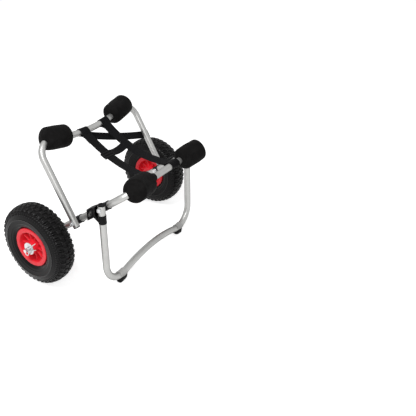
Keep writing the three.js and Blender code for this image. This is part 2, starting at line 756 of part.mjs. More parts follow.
function rim() {
  const well = rimWellDiameter / 2;
  const wellHalf = rimWellWidth / 2;
  const face = flangeRadius - rimFaceWidth;
  const seatOuter = rimHalf - rimLip;
  const outer = [
    [seatOuter, flangeRadius],
    [seatOuter, seatRadius],
    [seatOuter - rimSeatWidth, seatRadius - rimSeatFall],
    [wellHalf, well],
  ];
  const inner = [
    [rimHalf, flangeRadius - rimLip],
    [rimHalf, face],
    [wellHalf, well - rimWall],
  ];
  const section = [...outer, ...mirroredLine(outer), ...mirroredLine(inner).reverse(), ...inner.reverse()];
  const webTo = -rimWebFromMiddle;
  const web = barAlongX(well - rimWall / 2, webTo - rimWall, webTo, wheelFacets);
  const hub = barAlongX(hubRadius, -hubLength / 2, hubLength / 2, wheelFacets / 2);
  const ribFrom = hubRadius - rimWall;
  const ribTo = well - rimWall / 2;
  const ribLength = 2 * (rimHalf - rimRibSetBack);
  const ribs = [];
  for (let i = 0; i < rimRibs; i += 1) {
    const rib = box(ribLength, rimRibThickness, ribTo - ribFrom, 0, 0, (ribFrom + ribTo) / 2);
    ribs.push(rib.rotateX(((i + 1 / 2) / rimRibs) * 2 * Math.PI));
  }
  const bore = barAlongX(boreFor(bushRadius, seatGap, ringFacets), -hubLength, hubLength, ringFacets);
  const solid = joined([latheAlongX(section, wheelFacets), web, hub, ...ribs]);
  return geometryOf(solid.subtract(solidOf(bore)).subtract(valveHole()));
}

for (const [name, side] of sides) {
  const wheel = sideGroup(side, side * wheelTrackHalf);
  addMesh(wheel, `tyre_${name}`, tyre(), colours.rubber);
  addMesh(wheel, `inner_tube_${name}`, innerTube(), colours.rubber);
  addMesh(wheel, `valve_stem_${name}`, valve(), colours.plastic);
  addMesh(wheel, `rim_${name}`, rim(), colours.rim);
  const bore = boreFor(axleRadius, bushClearance, ringFacets);
  const bush = ringAlongX(bushRadius, bore, -hubLength / 2, hubLength / 2);
  addMesh(wheel, `hub_bush_${name}`, bush, colours.nylon);
}

// Axle pins: bolted through the front legs, with a spacer, a washer and a hairpin clip for each wheel
const clipX = axleEnd - clipFromEnd;
const nutFace = frontHalfWidth - tubeRadius - seatGap;

function clipPlace(along, across) {
  const y = along * Math.sin(clipTurn) + across * Math.cos(clipTurn);
  const z = along * Math.cos(clipTurn) - across * Math.sin(clipTurn);
  return new THREE.Vector3(clipX, y, z);
}

function axlePin() {
  const pin = barAlongX(axleRadius, nutFace - axleNutThickness - looseGap, axleEnd, 12);
  const hole = barAlongZ(boreFor(clipWire / 2, seatGap, 8), -axleDiameter, axleDiameter, 8);
  hole.rotateX(-clipTurn).translate(clipX, 0, 0);
  return geometryOf(solidOf(pin).subtract(solidOf(hole)));
}

function axleNut() {
  const nut = barAlongX(axleNutWidth / 2 / Math.cos(Math.PI / 6), nutFace - axleNutThickness, nutFace, 6);
  const bore = boreFor(axleRadius, seatGap, 12);
  const hole = barAlongX(bore, nutFace - axleWasherDiameter, nutFace + cutOverrun, 12);
  return geometryOf(solidOf(nut).subtract(solidOf(hole)));
}

function hairpinClip() {
  const loop = clipLoopWidth / 2;
  const loopAt = loop - clipBack;
  const hug = axleRadius + seatGap + clipWire / 2;
  const stations = [clipPlace(clipReach, 0)];
  const loopSteps = 6;
  for (let i = 0; i <= loopSteps; i += 1) {
    const angle = (i / loopSteps) * Math.PI;
    stations.push(clipPlace(loopAt - loop * Math.sin(angle), loop * (1 - Math.cos(angle))));
  }
  stations.push(clipPlace(-axleRadius, (hug + clipLoopWidth) / 2));
  stations.push(clipPlace(0, hug + seatGap));
  stations.push(clipPlace(axleRadius, hug + seatGap));
  stations.push(clipPlace(clipFlareReach, clipFlare));
  return sweptTube(stations, clipWire / 2, 0, 5);
}

for (const [name, side] of sides) {
  const axle = sideGroup(side, 0);
  const bore = boreFor(axleRadius, seatGap, ringFacets);
  addMesh(axle, `axle_pin_${name}`, axlePin(), colours.steel);
  addMesh(axle, `axle_nut_${name}`, axleNut(), colours.steel);
  const spacer = ringAlongX(bore + spacerWall, bore, frontOuterSide + seatGap, hubInnerFace - seatGap);
  addMesh(axle, `axle_spacer_${name}`, spacer, colours.nylon);
  const washer = ringAlongX(axleWasherDiameter / 2, bore, hubOuterFace + seatGap, washerOuterFace);
  addMesh(axle, `axle_washer_${name}`, washer, colours.steel);
  addMesh(axle, `r_clip_${name}`, hairpinClip(), colours.steel);
}

// Straps: webbing sewn into a loop round each bar, hanging a little between them
const foldHeight = axleHeight + foldDistance * Math.cos(frontLean);
const foldPoint = { y: -foldDistance * Math.sin(frontLean), z: foldHeight };

function rearBarPlace(x) {
  const height = barHeight(rearBar, x);
  return { y: foldPoint.y + height * Math.sin(rearLean), z: foldPoint.z + height * Math.cos(rearLean) };
}

function frontBarPlace(x) {
  const height = barHeight(frontBar, x);
  return { y: -height * Math.sin(frontLean), z: axleHeight + height * Math.cos(frontLean) };
}

const loopInner = boreFor(tubeRadius, seatGap, ringFacets);
const loopOuter = loopInner + webThickness;
const webStart = loopInner + webThickness / 2;

class Strap {
  constructor(rearX, frontX, sag) {
    Object.assign(this, { rearX, frontX, sag });
    this.rear = rearBarPlace(rearX);
    this.front = frontBarPlace(frontX);
    this.span = Math.hypot(this.front.y - this.rear.y, this.front.z - this.rear.z);
    this.alongY = (this.front.y - this.rear.y) / this.span;
    this.alongZ = (this.front.z - this.rear.z) / this.span;
  }

  // How the webbing moves with the bars, which curve, at a place across its width
  shift(share, x) {
    const rearMoved = rearBarPlace(this.rearX + x);
    const frontMoved = frontBarPlace(this.frontX + x);
    const y = (1 - share) * (rearMoved.y - this.rear.y) + share * (frontMoved.y - this.front.y);
    const z = (1 - share) * (rearMoved.z - this.rear.z) + share * (frontMoved.z - this.front.z);
    return new THREE.Vector3(this.rearX + x + share * (this.frontX - this.rearX), y, z);
  }

  // The middle line of the webbing, at a share of the way from the rear loop to the front one
  line(share) {
    const along = webStart + share * (this.span - 2 * webStart);
    const sunk = 4 * this.sag * share * (1 - share);
    return [this.rear.y + along * this.alongY, this.rear.z + along * this.alongZ - sunk];
  }

  place(share, x = 0) {
    return this.shift(share, x).add(new THREE.Vector3(0, ...this.line(share)));
  }

  // Moves straight webbing to where the curved bars hold it
  lay(geometry) {
    const position = geometry.attributes.position;
    for (let i = 0; i < position.count; i += 1) {
      const [x, y, z] = [position.getX(i), position.getY(i), position.getZ(i)];
      const along = (y - this.rear.y) * this.alongY + (z - this.rear.z) * this.alongZ;
      const share = Math.min(Math.max((along - loopOuter) / (this.span - 2 * loopOuter), 0), 1);
      const moved = this.shift(share, x);
      position.setXYZ(i, moved.x, moved.y + y, moved.z + z);
    }
    return geometry;
  }

  solid() {
    const widthSteps = 2;
    const loops = [this.rear, this.front].map((place) => {
      const ring = circleShape(loopOuter, ringFacets);
      ring.holes.push(circleShape(loopInner, ringFacets, THREE.Path));
      return drawnAlongX(ring, webWidth, widthSteps).translate(0, place.y, place.z);
    });
    const upper = [];
    const lower = [];
    const lengthSteps = 8;
    for (let i = 0; i <= lengthSteps; i += 1) {
      const [y, z] = this.line(i / lengthSteps);
      const [riseY, riseZ] = [-this.alongZ * (webThickness / 2), this.alongY * (webThickness / 2)];
      upper.push(new THREE.Vector2(y - riseY, z - riseZ));
      lower.unshift(new THREE.Vector2(y + riseY, z + riseZ));
    }
    const web = drawnAlongX(new THREE.Shape([...upper, ...lower]), webWidth, widthSteps);
    return joined([...loops, web].map((geometry) => this.lay(geometry)));
  }
}

const leftStrapRear = -leftStrapRearShare * rearPadEnd;
const leftStrapFront = leftStrapToPad + webWidth / 2 - frontPadEnd;
const rightStrapRear = rightStrapRearShare * rearPadEnd;
const rightStrapFront = frontPadEnd - webWidth / 2 - rightStrapToPad;
const leftStrap = new Strap(leftStrapRear, leftStrapFront, leftStrapSag);
const rightStrap = new Strap(rightStrapRear, rightStrapFront, rightStrapSag);
addMesh(cart, "left_strap", geometryOf(leftStrap.solid()), colours.webbing);
addMesh(cart, "right_strap", geometryOf(rightStrap.solid()), colours.webbing);

// The slide buckle on the left strap, and the tail of webbing from it to the right strap
const bucklePlace = leftStrap.place(buckleAtShare);
const tailPlace = rightStrap.place(tailAtShare);
const frameShare = 0.02;

// A frame on a strap: X across it, Y along it towards the front loop, Z out of it
function strapFrame(strap, share) {
  const along = strap.place(share + frameShare).sub(strap.place(share - frameShare)).normalize();
  const across = strap.place(share, webWidth / 2).sub(strap.place(share, -webWidth / 2));
  const out = across.cross(along).normalize();
  return new THREE.Matrix4().makeBasis(along.clone().cross(out), along, out);
}

function buckle() {
  const slotWidth = webWidth + 2 * buckleGap;
  const slotHeight = webThickness + 2 * buckleGap;
  const outer = box(slotWidth + 2 * buckleWall, buckleLength, buckleThickness);
  const slot = box(slotWidth, 2 * buckleLength, slotHeight);
  const window = box(slotWidth, buckleLength / 2 - buckleWall, buckleThickness, 0, 0, slotHeight);
  const frame = strapFrame(leftStrap, buckleAtShare).setPosition(bucklePlace);
  const solid = solidOf(outer).subtract(solidOf(slot)).subtract(solidOf(window));
  return geometryOf(solid).applyMatrix4(frame);
}

// The tail ends beside the buckle and beside the right strap
function tail() {
  const length = bucklePlace.distanceTo(tailPlace);
  const upper = [];
  const lower = [];
  const steps = 8;
  for (let i = 0; i <= steps; i += 1) {
    const share = i / steps;
    const drop = 4 * tailSag * share * (1 - share);
    upper.unshift(new THREE.Vector2(share * length, webThickness / 2 - drop));
    lower.push(new THREE.Vector2(share * length, -webThickness / 2 - drop));
  }
  const options = { depth: tailWidth, bevelEnabled: false, steps: 1 };
  const ribbon = new THREE.ExtrudeGeometry(new THREE.Shape([...lower, ...upper]), options);
  ribbon.translate(0, 0, -tailWidth / 2);
  const along = tailPlace.clone().sub(bucklePlace).normalize();
  const out = new THREE.Vector3(0, 0, 1).transformDirection(strapFrame(leftStrap, buckleAtShare));
  const across = along.clone().cross(out).normalize();
  const basis = new THREE.Matrix4().makeBasis(along, across.clone().cross(along), across);
  ribbon.applyMatrix4(basis.setPosition(bucklePlace));
  const buckleSpace = box(webWidth + 2 * (buckleGap + buckleWall + seatGap), 4 * tailWidth, 2 * tailWidth);
  buckleSpace.applyMatrix4(strapFrame(leftStrap, buckleAtShare).setPosition(bucklePlace));
  const strapSpace = box(webWidth + 2 * seatGap, 4 * tailWidth, 2 * tailWidth);
  strapSpace.applyMatrix4(strapFrame(rightStrap, tailAtShare).setPosition(tailPlace));
  return geometryOf(solidOf(ribbon).subtract(solidOf(buckleSpace)).subtract(solidOf(strapSpace)));
}

addMesh(cart, "strap_buckle", buckle(), colours.plastic);
addMesh(cart, "strap_tail", tail(), colours.webbing);

// A band behind the rear arch, from the left strap's loop down to the right leg
function crossBand() {
  const fromX = leftStrapRear + webWidth / 2 + seatGap;
  const toX = rearHalfWidth + tubeRadius - webThickness;
  const fromZ = barHeight(rearBar, fromX) - bandDrop;
  const upper = [];
  const lower = [];
  const steps = 6;
  for (let i = 0; i <= steps; i += 1) {
    const share = i / steps;
    const x = fromX + share * (toX - fromX);
    const z = fromZ + share * (bandLegDistance - fromZ) - 4 * bandSag * share * (1 - share);
    upper.unshift(new THREE.Vector2(x, z + bandWidth / 2));
    lower.push(new THREE.Vector2(x, z - bandWidth / 2));
  }
  const options = { depth: webThickness, bevelEnabled: false, steps: 1 };
  const band = new THREE.ExtrudeGeometry(new THREE.Shape([...lower, ...upper]), options);
  return band.rotateX(Math.PI / 2).translate(0, tubeRadius + seatGap + webThickness, 0);
}

addMesh(rearArch, "cross_band", crossBand(), colours.webbing);

// The origin lies on the ground, under the middle of the whole cart
const bounds = new THREE.Box3().setFromObject(cart, true);
const middle = bounds.getCenter(new THREE.Vector3());
cart.position.set(-middle.x, -middle.y, -bounds.min.z);

export default cart;
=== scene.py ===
import bpy
import math
import numpy as np
from mathutils import Matrix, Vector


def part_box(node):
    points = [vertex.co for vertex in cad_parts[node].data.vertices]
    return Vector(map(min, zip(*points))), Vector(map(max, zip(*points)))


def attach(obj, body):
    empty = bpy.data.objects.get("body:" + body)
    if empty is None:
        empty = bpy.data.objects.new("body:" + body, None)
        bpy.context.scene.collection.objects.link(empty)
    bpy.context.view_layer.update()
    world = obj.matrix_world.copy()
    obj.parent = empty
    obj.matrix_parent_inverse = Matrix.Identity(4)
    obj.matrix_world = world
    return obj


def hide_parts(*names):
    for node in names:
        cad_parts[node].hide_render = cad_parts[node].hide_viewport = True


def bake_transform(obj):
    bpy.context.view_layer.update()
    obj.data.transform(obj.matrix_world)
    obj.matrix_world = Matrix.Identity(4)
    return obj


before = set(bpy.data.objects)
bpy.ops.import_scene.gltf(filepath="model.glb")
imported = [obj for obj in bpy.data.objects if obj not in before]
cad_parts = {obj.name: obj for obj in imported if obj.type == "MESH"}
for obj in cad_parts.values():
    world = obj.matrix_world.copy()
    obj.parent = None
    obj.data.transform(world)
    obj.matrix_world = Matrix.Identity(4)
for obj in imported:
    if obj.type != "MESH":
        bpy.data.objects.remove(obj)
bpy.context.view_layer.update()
print("kayak cart: frame loaded")

# All sizes are millimetres and degrees, and become metres when a mesh is made
mm = 0.001
sides = (("left", -1), ("right", 1))


def boxOf(node):
    low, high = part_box(node)
    return np.array(low) / mm, np.array(high) / mm


axleFromFront, axleHeight = (sum(boxOf("axle_pin_left")) / 2)[1:]

tubing = {"radius": 11.0, "wall": 1.6, "around": 40, "gap": 0.3, "legSteps": 23, "bendSteps": 25, "barSteps": 27}
frontArch = {"half": 210.5, "reach": 357.0, "dip": 40.0, "bend": 50.0, "tail": 18.0, "lean": 50.2}
rearArch = {"half": 237.0, "reach": 278.0, "dip": 36.0, "bend": 50.0, "tail": 15.0, "lean": -34.0, "hingeAt": 111.0}
kickstand = {"half": 235.5, "reach": 297.0, "dip": 50.0, "bend": 68.0, "tail": 11.0, "lean": -5.0, "hingeAt": 252.0}


# Points turned about X by the lean, then moved
def leaned(points, lean, origin=0.0):
    cos, sin = math.cos(math.radians(lean)), math.sin(math.radians(lean))
    x, y, z = points[..., 0], points[..., 1], points[..., 2]
    return np.stack([x, y * cos - z * sin, y * sin + z * cos], -1) + origin


# A tube's own plane: X across, Z along its legs
def planeOf(arch, origin):
    return lambda points: leaned(points, arch["lean"], origin)


frontOrigin = np.array([0, axleFromFront, axleHeight])
onFront = planeOf(frontArch, frontOrigin)
onRear = planeOf(rearArch, onFront(np.array([0, 0, rearArch["hingeAt"]])))
onKick = planeOf(kickstand, onFront(np.array([0, 0, kickstand["hingeAt"]])))


# A row or column of unit vectors
def unit(vectors):
    return vectors / np.linalg.norm(vectors, axis=-1, keepdims=True)


def tangentsOf(line):
    return unit(np.gradient(line, axis=0))


# Corners rounded by quadratic curves: each corner pulls the line between two points near it
def softened(corners, radius, steps=6, closed=False):
    corners = np.asarray(corners, float)
    before, after = np.roll(corners, 1, 0) - corners, np.roll(corners, -1, 0) - corners
    lengthBefore = np.linalg.norm(before, axis=1, keepdims=True)
    lengthAfter = np.linalg.norm(after, axis=1, keepdims=True)
    reachBefore = np.minimum(radius, lengthBefore * 0.499) / np.maximum(lengthBefore, 1e-9)
    reachAfter = np.minimum(radius, lengthAfter * 0.499) / np.maximum(lengthAfter, 1e-9)
    t = np.linspace(0, 1, steps + 1)[None, :, None]
    start, end = corners + before * reachBefore, corners + after * reachAfter
    curve = (1 - t) ** 2 * start[:, None] + 2 * t * (1 - t) * corners[:, None] + t ** 2 * end[:, None]
    if closed:
        return curve.reshape(-1, corners.shape[1])
    inner = curve[1:-1].reshape(-1, corners.shape[1])
    return np.concatenate([corners[:1], inner, corners[-1:]])


def lengthsAlong(line):
    return np.concatenate([[0], np.cumsum(np.linalg.norm(np.diff(line, axis=0), axis=1))])


# The same number of even steps along a line
def evenly(line, count):
    length = lengthsAlong(line)
    places = np.linspace(0, length[-1], count)
    return np.stack([np.interp(places, length, line[:, i]) for i in range(line.shape[1])], -1)


def onCircle(angle):
    return np.stack([np.cos(angle), np.sin(angle)], -1)


def anglesOf(count):
    return np.arange(count) / count * 2 * np.pi


def circle(radius, count):
    return radius * onCircle(anglesOf(count))


# A grid of points becomes a shell: rows run along the piece and columns round it, UVs are lengths in metres
def shell(points, wrapRows=False):
    rows, columns = points.shape[:2]
    r, c = np.meshgrid(np.arange(rows - (not wrapRows)), np.arange(columns), indexing="ij")
    corners = [(r, c), (r, c + 1), (r + 1, c + 1), (r + 1, c)]
    quads = np.stack([(a % rows) * columns + b % columns for a, b in corners], -1).reshape(-1, 4)
    along = np.linalg.norm(np.roll(points, -1, 0) - points, axis=2).mean(1)
    around = np.linalg.norm(np.roll(points, -1, 1) - points, axis=2).max(0)
    v, u = np.concatenate([[0], np.cumsum(along)]), np.concatenate([[0], np.cumsum(around)])
    uvs = np.stack([np.stack([u[b], v[a]], -1) for a, b in corners], 2).reshape(-1, 2) * mm
    ends = [] if wrapRows else [list(range(columns))[::-1], [(rows - 1) * columns + i for i in range(columns)]]
    flat = points.reshape(-1, 3)
    a, b, d, e = (flat[quads[:, i]] - flat.mean(0) for i in range(4))
    volume = (np.cross(a, b) * d).sum() + (np.cross(a, d) * e).sum()
    for end in ends:
        fan = flat[end] - flat.mean(0)
        volume += (np.cross(fan[0], fan[1:-1]) * fan[2:]).sum()
    if volume < 0:
        quads, uvs = quads[:, ::-1], uvs.reshape(-1, 4, 2)[:, ::-1].reshape(-1, 2)
        ends = [end[::-1] for end in ends]
    uvs = np.concatenate([uvs, np.zeros((sum(map(len, ends)), 2))])
    return {"points": flat, "faces": quads.tolist() + ends, "uvs": uvs}


def closedTangents(line):
    return unit(np.roll(line, -1, 0) - np.roll(line, 1, 0))


def squareTo(tangents):
    return np.stack([-tangents[:, 1], tangents[:, 0]], -1)


# The section carried along a path: path point + side * a + (tangent x side) * b
def carried(path, section, side, tangents=None):
    tangents = tangentsOf(path) if tangents is None else tangents
    across = np.broadcast_to(np.asarray(side, float), path.shape)
    across = unit(across - (across * tangents).sum(-1, keepdims=True) * tangents)
    other = np.cross(tangents, across)
    section = np.broadcast_to(section, (len(path),) + section.shape[-2:])
    return path[:, None] + section[..., :1] * across[:, None] + section[..., 1:] * other[:, None]


# A line of (place along X, radius) turned about X
def turned(line, count=48):
    line = np.asarray(line, float)
    ring = circle(1, count)
    x = np.repeat(line[:, None, 0], count, 1)
    return np.stack([x, line[:, None, 1] * ring[:, 0], line[:, None, 1] * ring[:, 1]], -1)


# A line of (place along X, radius) with its corners softened, turned about X and placed.
# A line that isn't closed starts and ends a few tenths off the axis, and the shell closes that hole
def lathed(line, radius, steps, count, closed=False, place=lambda points: points):
    return shell(place(turned(softened(line, radius, steps, closed=closed), count)), wrapRows=closed)


# A ring with rounded edges about X, between two radii and two places
def ringOf(inner, outer, start, end, edge, place, count=40):
    return lathed([[start, inner], [start, outer], [end, outer], [end, inner]], edge, 3, count, True, place)


# A prism with rounded edges: the outline shrinks by edge * (1 - sin a) while its height grows by edge * (1 - cos a)
def prism(outline, depth, edge, steps=4):
    outline = np.asarray(outline, float)
    x, y = outline.T
    turn = np.sign((x * np.roll(y, -1) - np.roll(x, -1) * y).sum())
    outward = -squareTo(closedTangents(outline)) * turn
    a = np.linspace(0, np.pi / 2, steps + 1)
    inset, rise = edge * (1 - np.sin(a)), edge * (1 - np.cos(a))
    inset, rise = np.concatenate([inset, inset[::-1]]), np.concatenate([rise, depth - rise[::-1]])
    flat = outline[None] - outward[None] * inset[:, None, None]
    height = np.repeat((rise - depth / 2)[:, None, None], len(outline), 1)
    return np.concatenate([flat, height], -1)


def rectangle(width, height, radius, steps=4):
    w, h = width / 2, height / 2
    return softened([[-w, -h], [w, -h], [w, h], [-w, h]], radius, steps, closed=True)


# Lower-case axes name where the prism's own first, second and height axes go
def axesTo(points, order, move=(0, 0, 0)):
    return points[..., ["xyz".index(axis) for axis in order]] + np.array(move, float)


def linked(name, data):
    made = bpy.data.objects.new(name, data)
    bpy.context.collection.objects.link(made)
    return made


def setAll(made, settings):
    for key, value in settings.items():
        setattr(made, key, value)


# A piece is one mesh of its shells, with its UVs, ready to ride
def makePiece(name, parts, slotName, body=None, node=None, sharpFrom=35, look=None):
    counts = np.cumsum([0] + [len(part["points"]) for part in parts])
    points = np.concatenate([part["points"] for part in parts]) * mm
    faces = [[corner + start for corner in face] for part, start in zip(parts, counts) for face in part["faces"]]
    mesh = bpy.data.meshes.new(name)
    mesh.from_pydata(points, [], faces)
    mesh.uv_layers.new(name="lengths").data.foreach_set("uv", np.concatenate([part["uvs"] for part in parts]).ravel())
    mesh.shade_smooth()
    mesh.set_sharp_from_angle(angle=math.radians(sharpFrom))
    mesh.materials.append(looks[look or slotName])
    return dressed(linked(name, mesh), body, node)


def dressed(piece, body, node):
    if body:
        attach(piece, body)
    if node:
        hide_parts(node)
    return piece


def seenNow(piece):
    return piece.evaluated_get(bpy.context.evaluated_depsgraph_get())


def applyAll(piece):
    bpy.context.view_layer.update()
    mesh = bpy.data.meshes.new_from_object(seenNow(piece))
    piece.modifiers.clear()
    piece.data = mesh


# A node with its inputs set or linked by name or number
def addNode(tree, kind, inputs=(), **settings):
    made = tree.nodes.new("ShaderNode" + kind)
    setAll(made, settings)
    for key, value in dict(inputs).items():
        if isinstance(value, bpy.types.NodeSocket):
            tree.links.new(value, made.inputs[key])
        else:
            made.inputs[key].default_value = value
    return made


def addMath(tree, operation, a, b=0.0, c=0.0, clamp=False):
    return addNode(tree, "Math", {0: a, 1: b, 2: c}, operation=operation, use_clamp=clamp).outputs[0]


# value * gain + offset
def scaled(tree, value, gain, offset=0.0, clamp=False):
    return addMath(tree, "MULTIPLY_ADD", value, gain, offset, clamp)


# Values from low to high become 0 to 1
def spread(tree, value, low, high):
    return addNode(tree, "MapRange", {"Value": value, "From Min": low, "From Max": high}).outputs[0]


def addNoise(tree, place, scale, detail, roughness=0.5, distortion=0.0):
    inputs = {"Vector": place, "Scale": scale, "Detail": detail, "Roughness": roughness, "Distortion": distortion}
    return addNode(tree, "TexNoise", inputs).outputs[0]


# A pattern is a group that reads a place and some values and gives one value
def newPattern(name, make, **values):
    group = bpy.data.node_groups.new(name, "ShaderNodeTree")
    group.interface.new_socket("Vector", in_out="INPUT", socket_type="NodeSocketVector")
    for title, value in values.items():
        group.interface.new_socket(title, in_out="INPUT", socket_type="NodeSocketFloat").default_value = value
    group.interface.new_socket("Value", in_out="OUTPUT", socket_type="NodeSocketFloat")
    given = group.nodes.new("NodeGroupInput").outputs
    made = make(group, given["Vector"], *(given[title] for title in values))
    group.links.new(made, group.nodes.new("NodeGroupOutput").inputs[0])
    return group


def usePattern(tree, group, place, **values):
    return addNode(tree, "Group", {"Vector": place, **values}, node_tree=group).outputs[0]


# Fine grain of moulded surfaces: two noises, one eight times finer
def makeGrain(tree, place, scale, coarse):
    fine = addNoise(tree, place, scale, 3.0, 0.6)
    broad = addNoise(tree, place, addMath(tree, "MULTIPLY", scale, 0.125), 2.0)
    return addNode(tree, "Mix", {"Factor": coarse, 2: fine, 3: broad}).outputs[0]


# Patches of one colour in another, such as handling marks and uneven dye
def makePatches(tree, place, scale, low, high):
    return spread(tree, addNoise(tree, place, scale, 5.0, 0.65, 0.4), low, high)


# Wear on edges: where the surface is sharply convex, broken up by noise
def makeEdgeWear(tree, place, low, high, scale):
    edge = spread(tree, addNode(tree, "NewGeometry").outputs["Pointiness"], low, high)
    return addMath(tree, "MULTIPLY", edge, spread(tree, addNoise(tree, place, scale, 4.0), 0.4, 0.62))


# Dust lies on what faces up, thicker in patches
def makeDust(tree, place, scale, amount):
    height = addNode(tree, "SeparateXYZ", {0: addNode(tree, "NewGeometry").outputs["Normal"]}).outputs[2]
    patchy = spread(tree, addNoise(tree, place, scale, 6.0, 0.7), 0.35, 0.75)
    return addMath(tree, "MULTIPLY", addMath(tree, "MULTIPLY", spread(tree, height, 0.1, 1.0), patchy), amount)


# Webbing: ribs across the width, each broken by the warp threads that cross it half a step apart
def makeWeave(tree, place, pitch):
    def wave(value, power):
        sine = addMath(tree, "SINE", addMath(tree, "MULTIPLY", value, math.pi))
        return addMath(tree, "POWER", addMath(tree, "ABSOLUTE", sine), power)

    parts = addNode(tree, "SeparateXYZ", {0: place}).outputs
    across, along = (addMath(tree, "DIVIDE", parts[i], pitch) for i in (0, 1))
    stagger = addMath(tree, "MODULO", addMath(tree, "FLOOR", across), 2.0)
    return addMath(tree, "MULTIPLY", wave(across, 0.5), wave(scaled(tree, stagger, 0.5, along), 0.6))


# Draw lines of extruded tube: noise stretched forty times along the tube
def makeDrawLines(tree, place, scale):
    drawn = addNode(tree, "Mapping", {"Vector": place, "Scale": (1.0, 0.025, 1.0)}).outputs[0]
    return addNoise(tree, drawn, scale, 4.0, 0.7)


grain = newPattern("mouldGrain", makeGrain, Scale=400.0, Coarse=0.4)
patches = newPattern("patches", makePatches, Scale=12.0, Low=0.35, High=0.7)
edgeWear = newPattern("edgeWear", makeEdgeWear, From=0.52, To=0.6, Scale=90.0)
dust = newPattern("dust", makeDust, Scale=30.0, Amount=0.3)
weave = newPattern("weave", makeWeave, Pitch=0.0016)
drawLines = newPattern("drawLines", makeDrawLines, Scale=900.0)


# A material's start: its Principled shader, and where its patterns are read
def newMaterial(name, **constants):
    material = bpy.data.materials.new(name)
    material.use_nodes = True
    tree = material.node_tree
    shader = tree.nodes["Principled BSDF"]
    for key, value in constants.items():
        shader.inputs[key.replace("_", " ")].default_value = value
    return material, tree, shader, addNode(tree, "TexCoord").outputs


def blendColours(tree, factor, a, b):
    return addNode(tree, "Mix", {"Factor": factor, 6: a, 7: b}, data_type="RGBA").outputs[2]


# A material's end: colour, roughness = pattern * rough[0] + rough[1], and bump by (distance, strength)
def finishMaterial(material, tree, shader, colour, pattern, rough, height, bump):
    normal = addNode(tree, "Bump", {"Height": height, "Distance": bump[0], "Strength": bump[1]}).outputs[0]
    for value, title in ((colour, "Base Color"), (scaled(tree, pattern, *rough), "Roughness"), (normal, "Normal")):
        tree.links.new(value, shader.inputs[title])
    return material


tubeLook = {"bright": (0.50, 0.50, 0.49, 1), "dull": (0.34, 0.34, 0.33, 1), "edge": (0.2, 0.2, 0.2, 1), "metallic": 0.8,
            "lines": 700.0, "clouds": 18.0, "share": 0.35, "rough": (0.22, 0.3), "bump": (0.00004, 0.6)}


def makeAluminium():
    look = tubeLook
    material, tree, shader, at = newMaterial("satinAluminiumTube", Metallic=look["metallic"],
                                             Specular_Tint=look["edge"])
    lines = usePattern(tree, drawLines, at["UV"], Scale=look["lines"])
    cloudy = usePattern(tree, patches, at["Object"], Scale=look["clouds"], Low=0.3, High=0.75)
    factor = scaled(tree, lines, look["share"], scaled(tree, cloudy, look["share"]), True)
    colour = blendColours(tree, factor, look["bright"], look["dull"])
    return finishMaterial(material, tree, shader, colour, factor, look["rough"], lines, look["bump"])


steelLook = {"bright": (0.72, 0.73, 0.74, 1), "stain": (0.5, 0.5, 0.5, 1), "edge": (0.4, 0.4, 0.4, 1), "metallic": 0.85,
             "grain": 900.0, "stains": 60.0, "rough": (0.25, 0.2), "bump": (0.00005, 0.5)}


def makeSteel():
    look = steelLook
    material, tree, shader, at = newMaterial("zincPlatedSteel", Metallic=look["metallic"], Specular_Tint=look["edge"])
    fine = usePattern(tree, grain, at["Object"], Scale=look["grain"], Coarse=0.5)
    stain = usePattern(tree, patches, at["Object"], Scale=look["stains"], Low=0.4, High=0.75)
    colour = blendColours(tree, stain, look["bright"], look["stain"])
    return finishMaterial(material, tree, shader, colour, fine, look["rough"], fine, look["bump"])


foamLook = {"colour": (0.005, 0.0047, 0.0047, 1), "worn": (0.011, 0.0105, 0.0105, 1), "specular": 0.06,
            "cells": 1100.0, "grain": 500.0, "rubbed": 25.0, "rough": (0.2, 0.68), "bump": (0.00025, 0.7)}


def makeFoam():
    look = foamLook
    material, tree, shader, at = newMaterial("closedCellFoam", Specular_IOR_Level=look["specular"])
    cells = addNode(tree, "TexVoronoi", {"Vector": at["Object"], "Scale": look["cells"], "Randomness": 1.0})
    fine = usePattern(tree, grain, at["Object"], Scale=look["grain"], Coarse=0.5)
    rubbed = usePattern(tree, patches, at["Object"], Scale=look["rubbed"], Low=0.42, High=0.72)
    colour = blendColours(tree, rubbed, look["colour"], look["worn"])
    height = scaled(tree, fine, 1.5, cells.outputs["Distance"])
    return finishMaterial(material, tree, shader, colour, fine, look["rough"], height, look["bump"])


tyreLook = {"colour": (0.0035, 0.0033, 0.0035, 1), "worn": (0.014, 0.0135, 0.014, 1), "dust": (0.03, 0.029, 0.027, 1),
            "specular": 0.1, "grain": 450.0, "blotches": 14.0, "rough": (0.2, 0.14), "bump": (0.0002, 0.5)}


def makeTyreRubber():
    look = tyreLook
    material, tree, shader, at = newMaterial("tyreRubber", Specular_IOR_Level=look["specular"])
    fine = usePattern(tree, grain, at["Object"], Scale=look["grain"], Coarse=0.5)
    blotches = usePattern(tree, patches, at["Object"], Scale=look["blotches"], Low=0.3, High=0.8)
    wear = usePattern(tree, edgeWear, at["Object"], From=0.505, To=0.56, Scale=120.0)
    dusty = usePattern(tree, dust, at["Object"], Scale=22.0, Amount=0.25)
    colour = blendColours(tree, scaled(tree, blotches, 0.35), look["colour"], look["worn"])
    colour = blendColours(tree, scaled(tree, wear, 0.6), colour, look["worn"])
    colour = blendColours(tree, dusty, colour, look["dust"])
    return finishMaterial(material, tree, shader, colour, fine, look["rough"], fine, look["bump"])


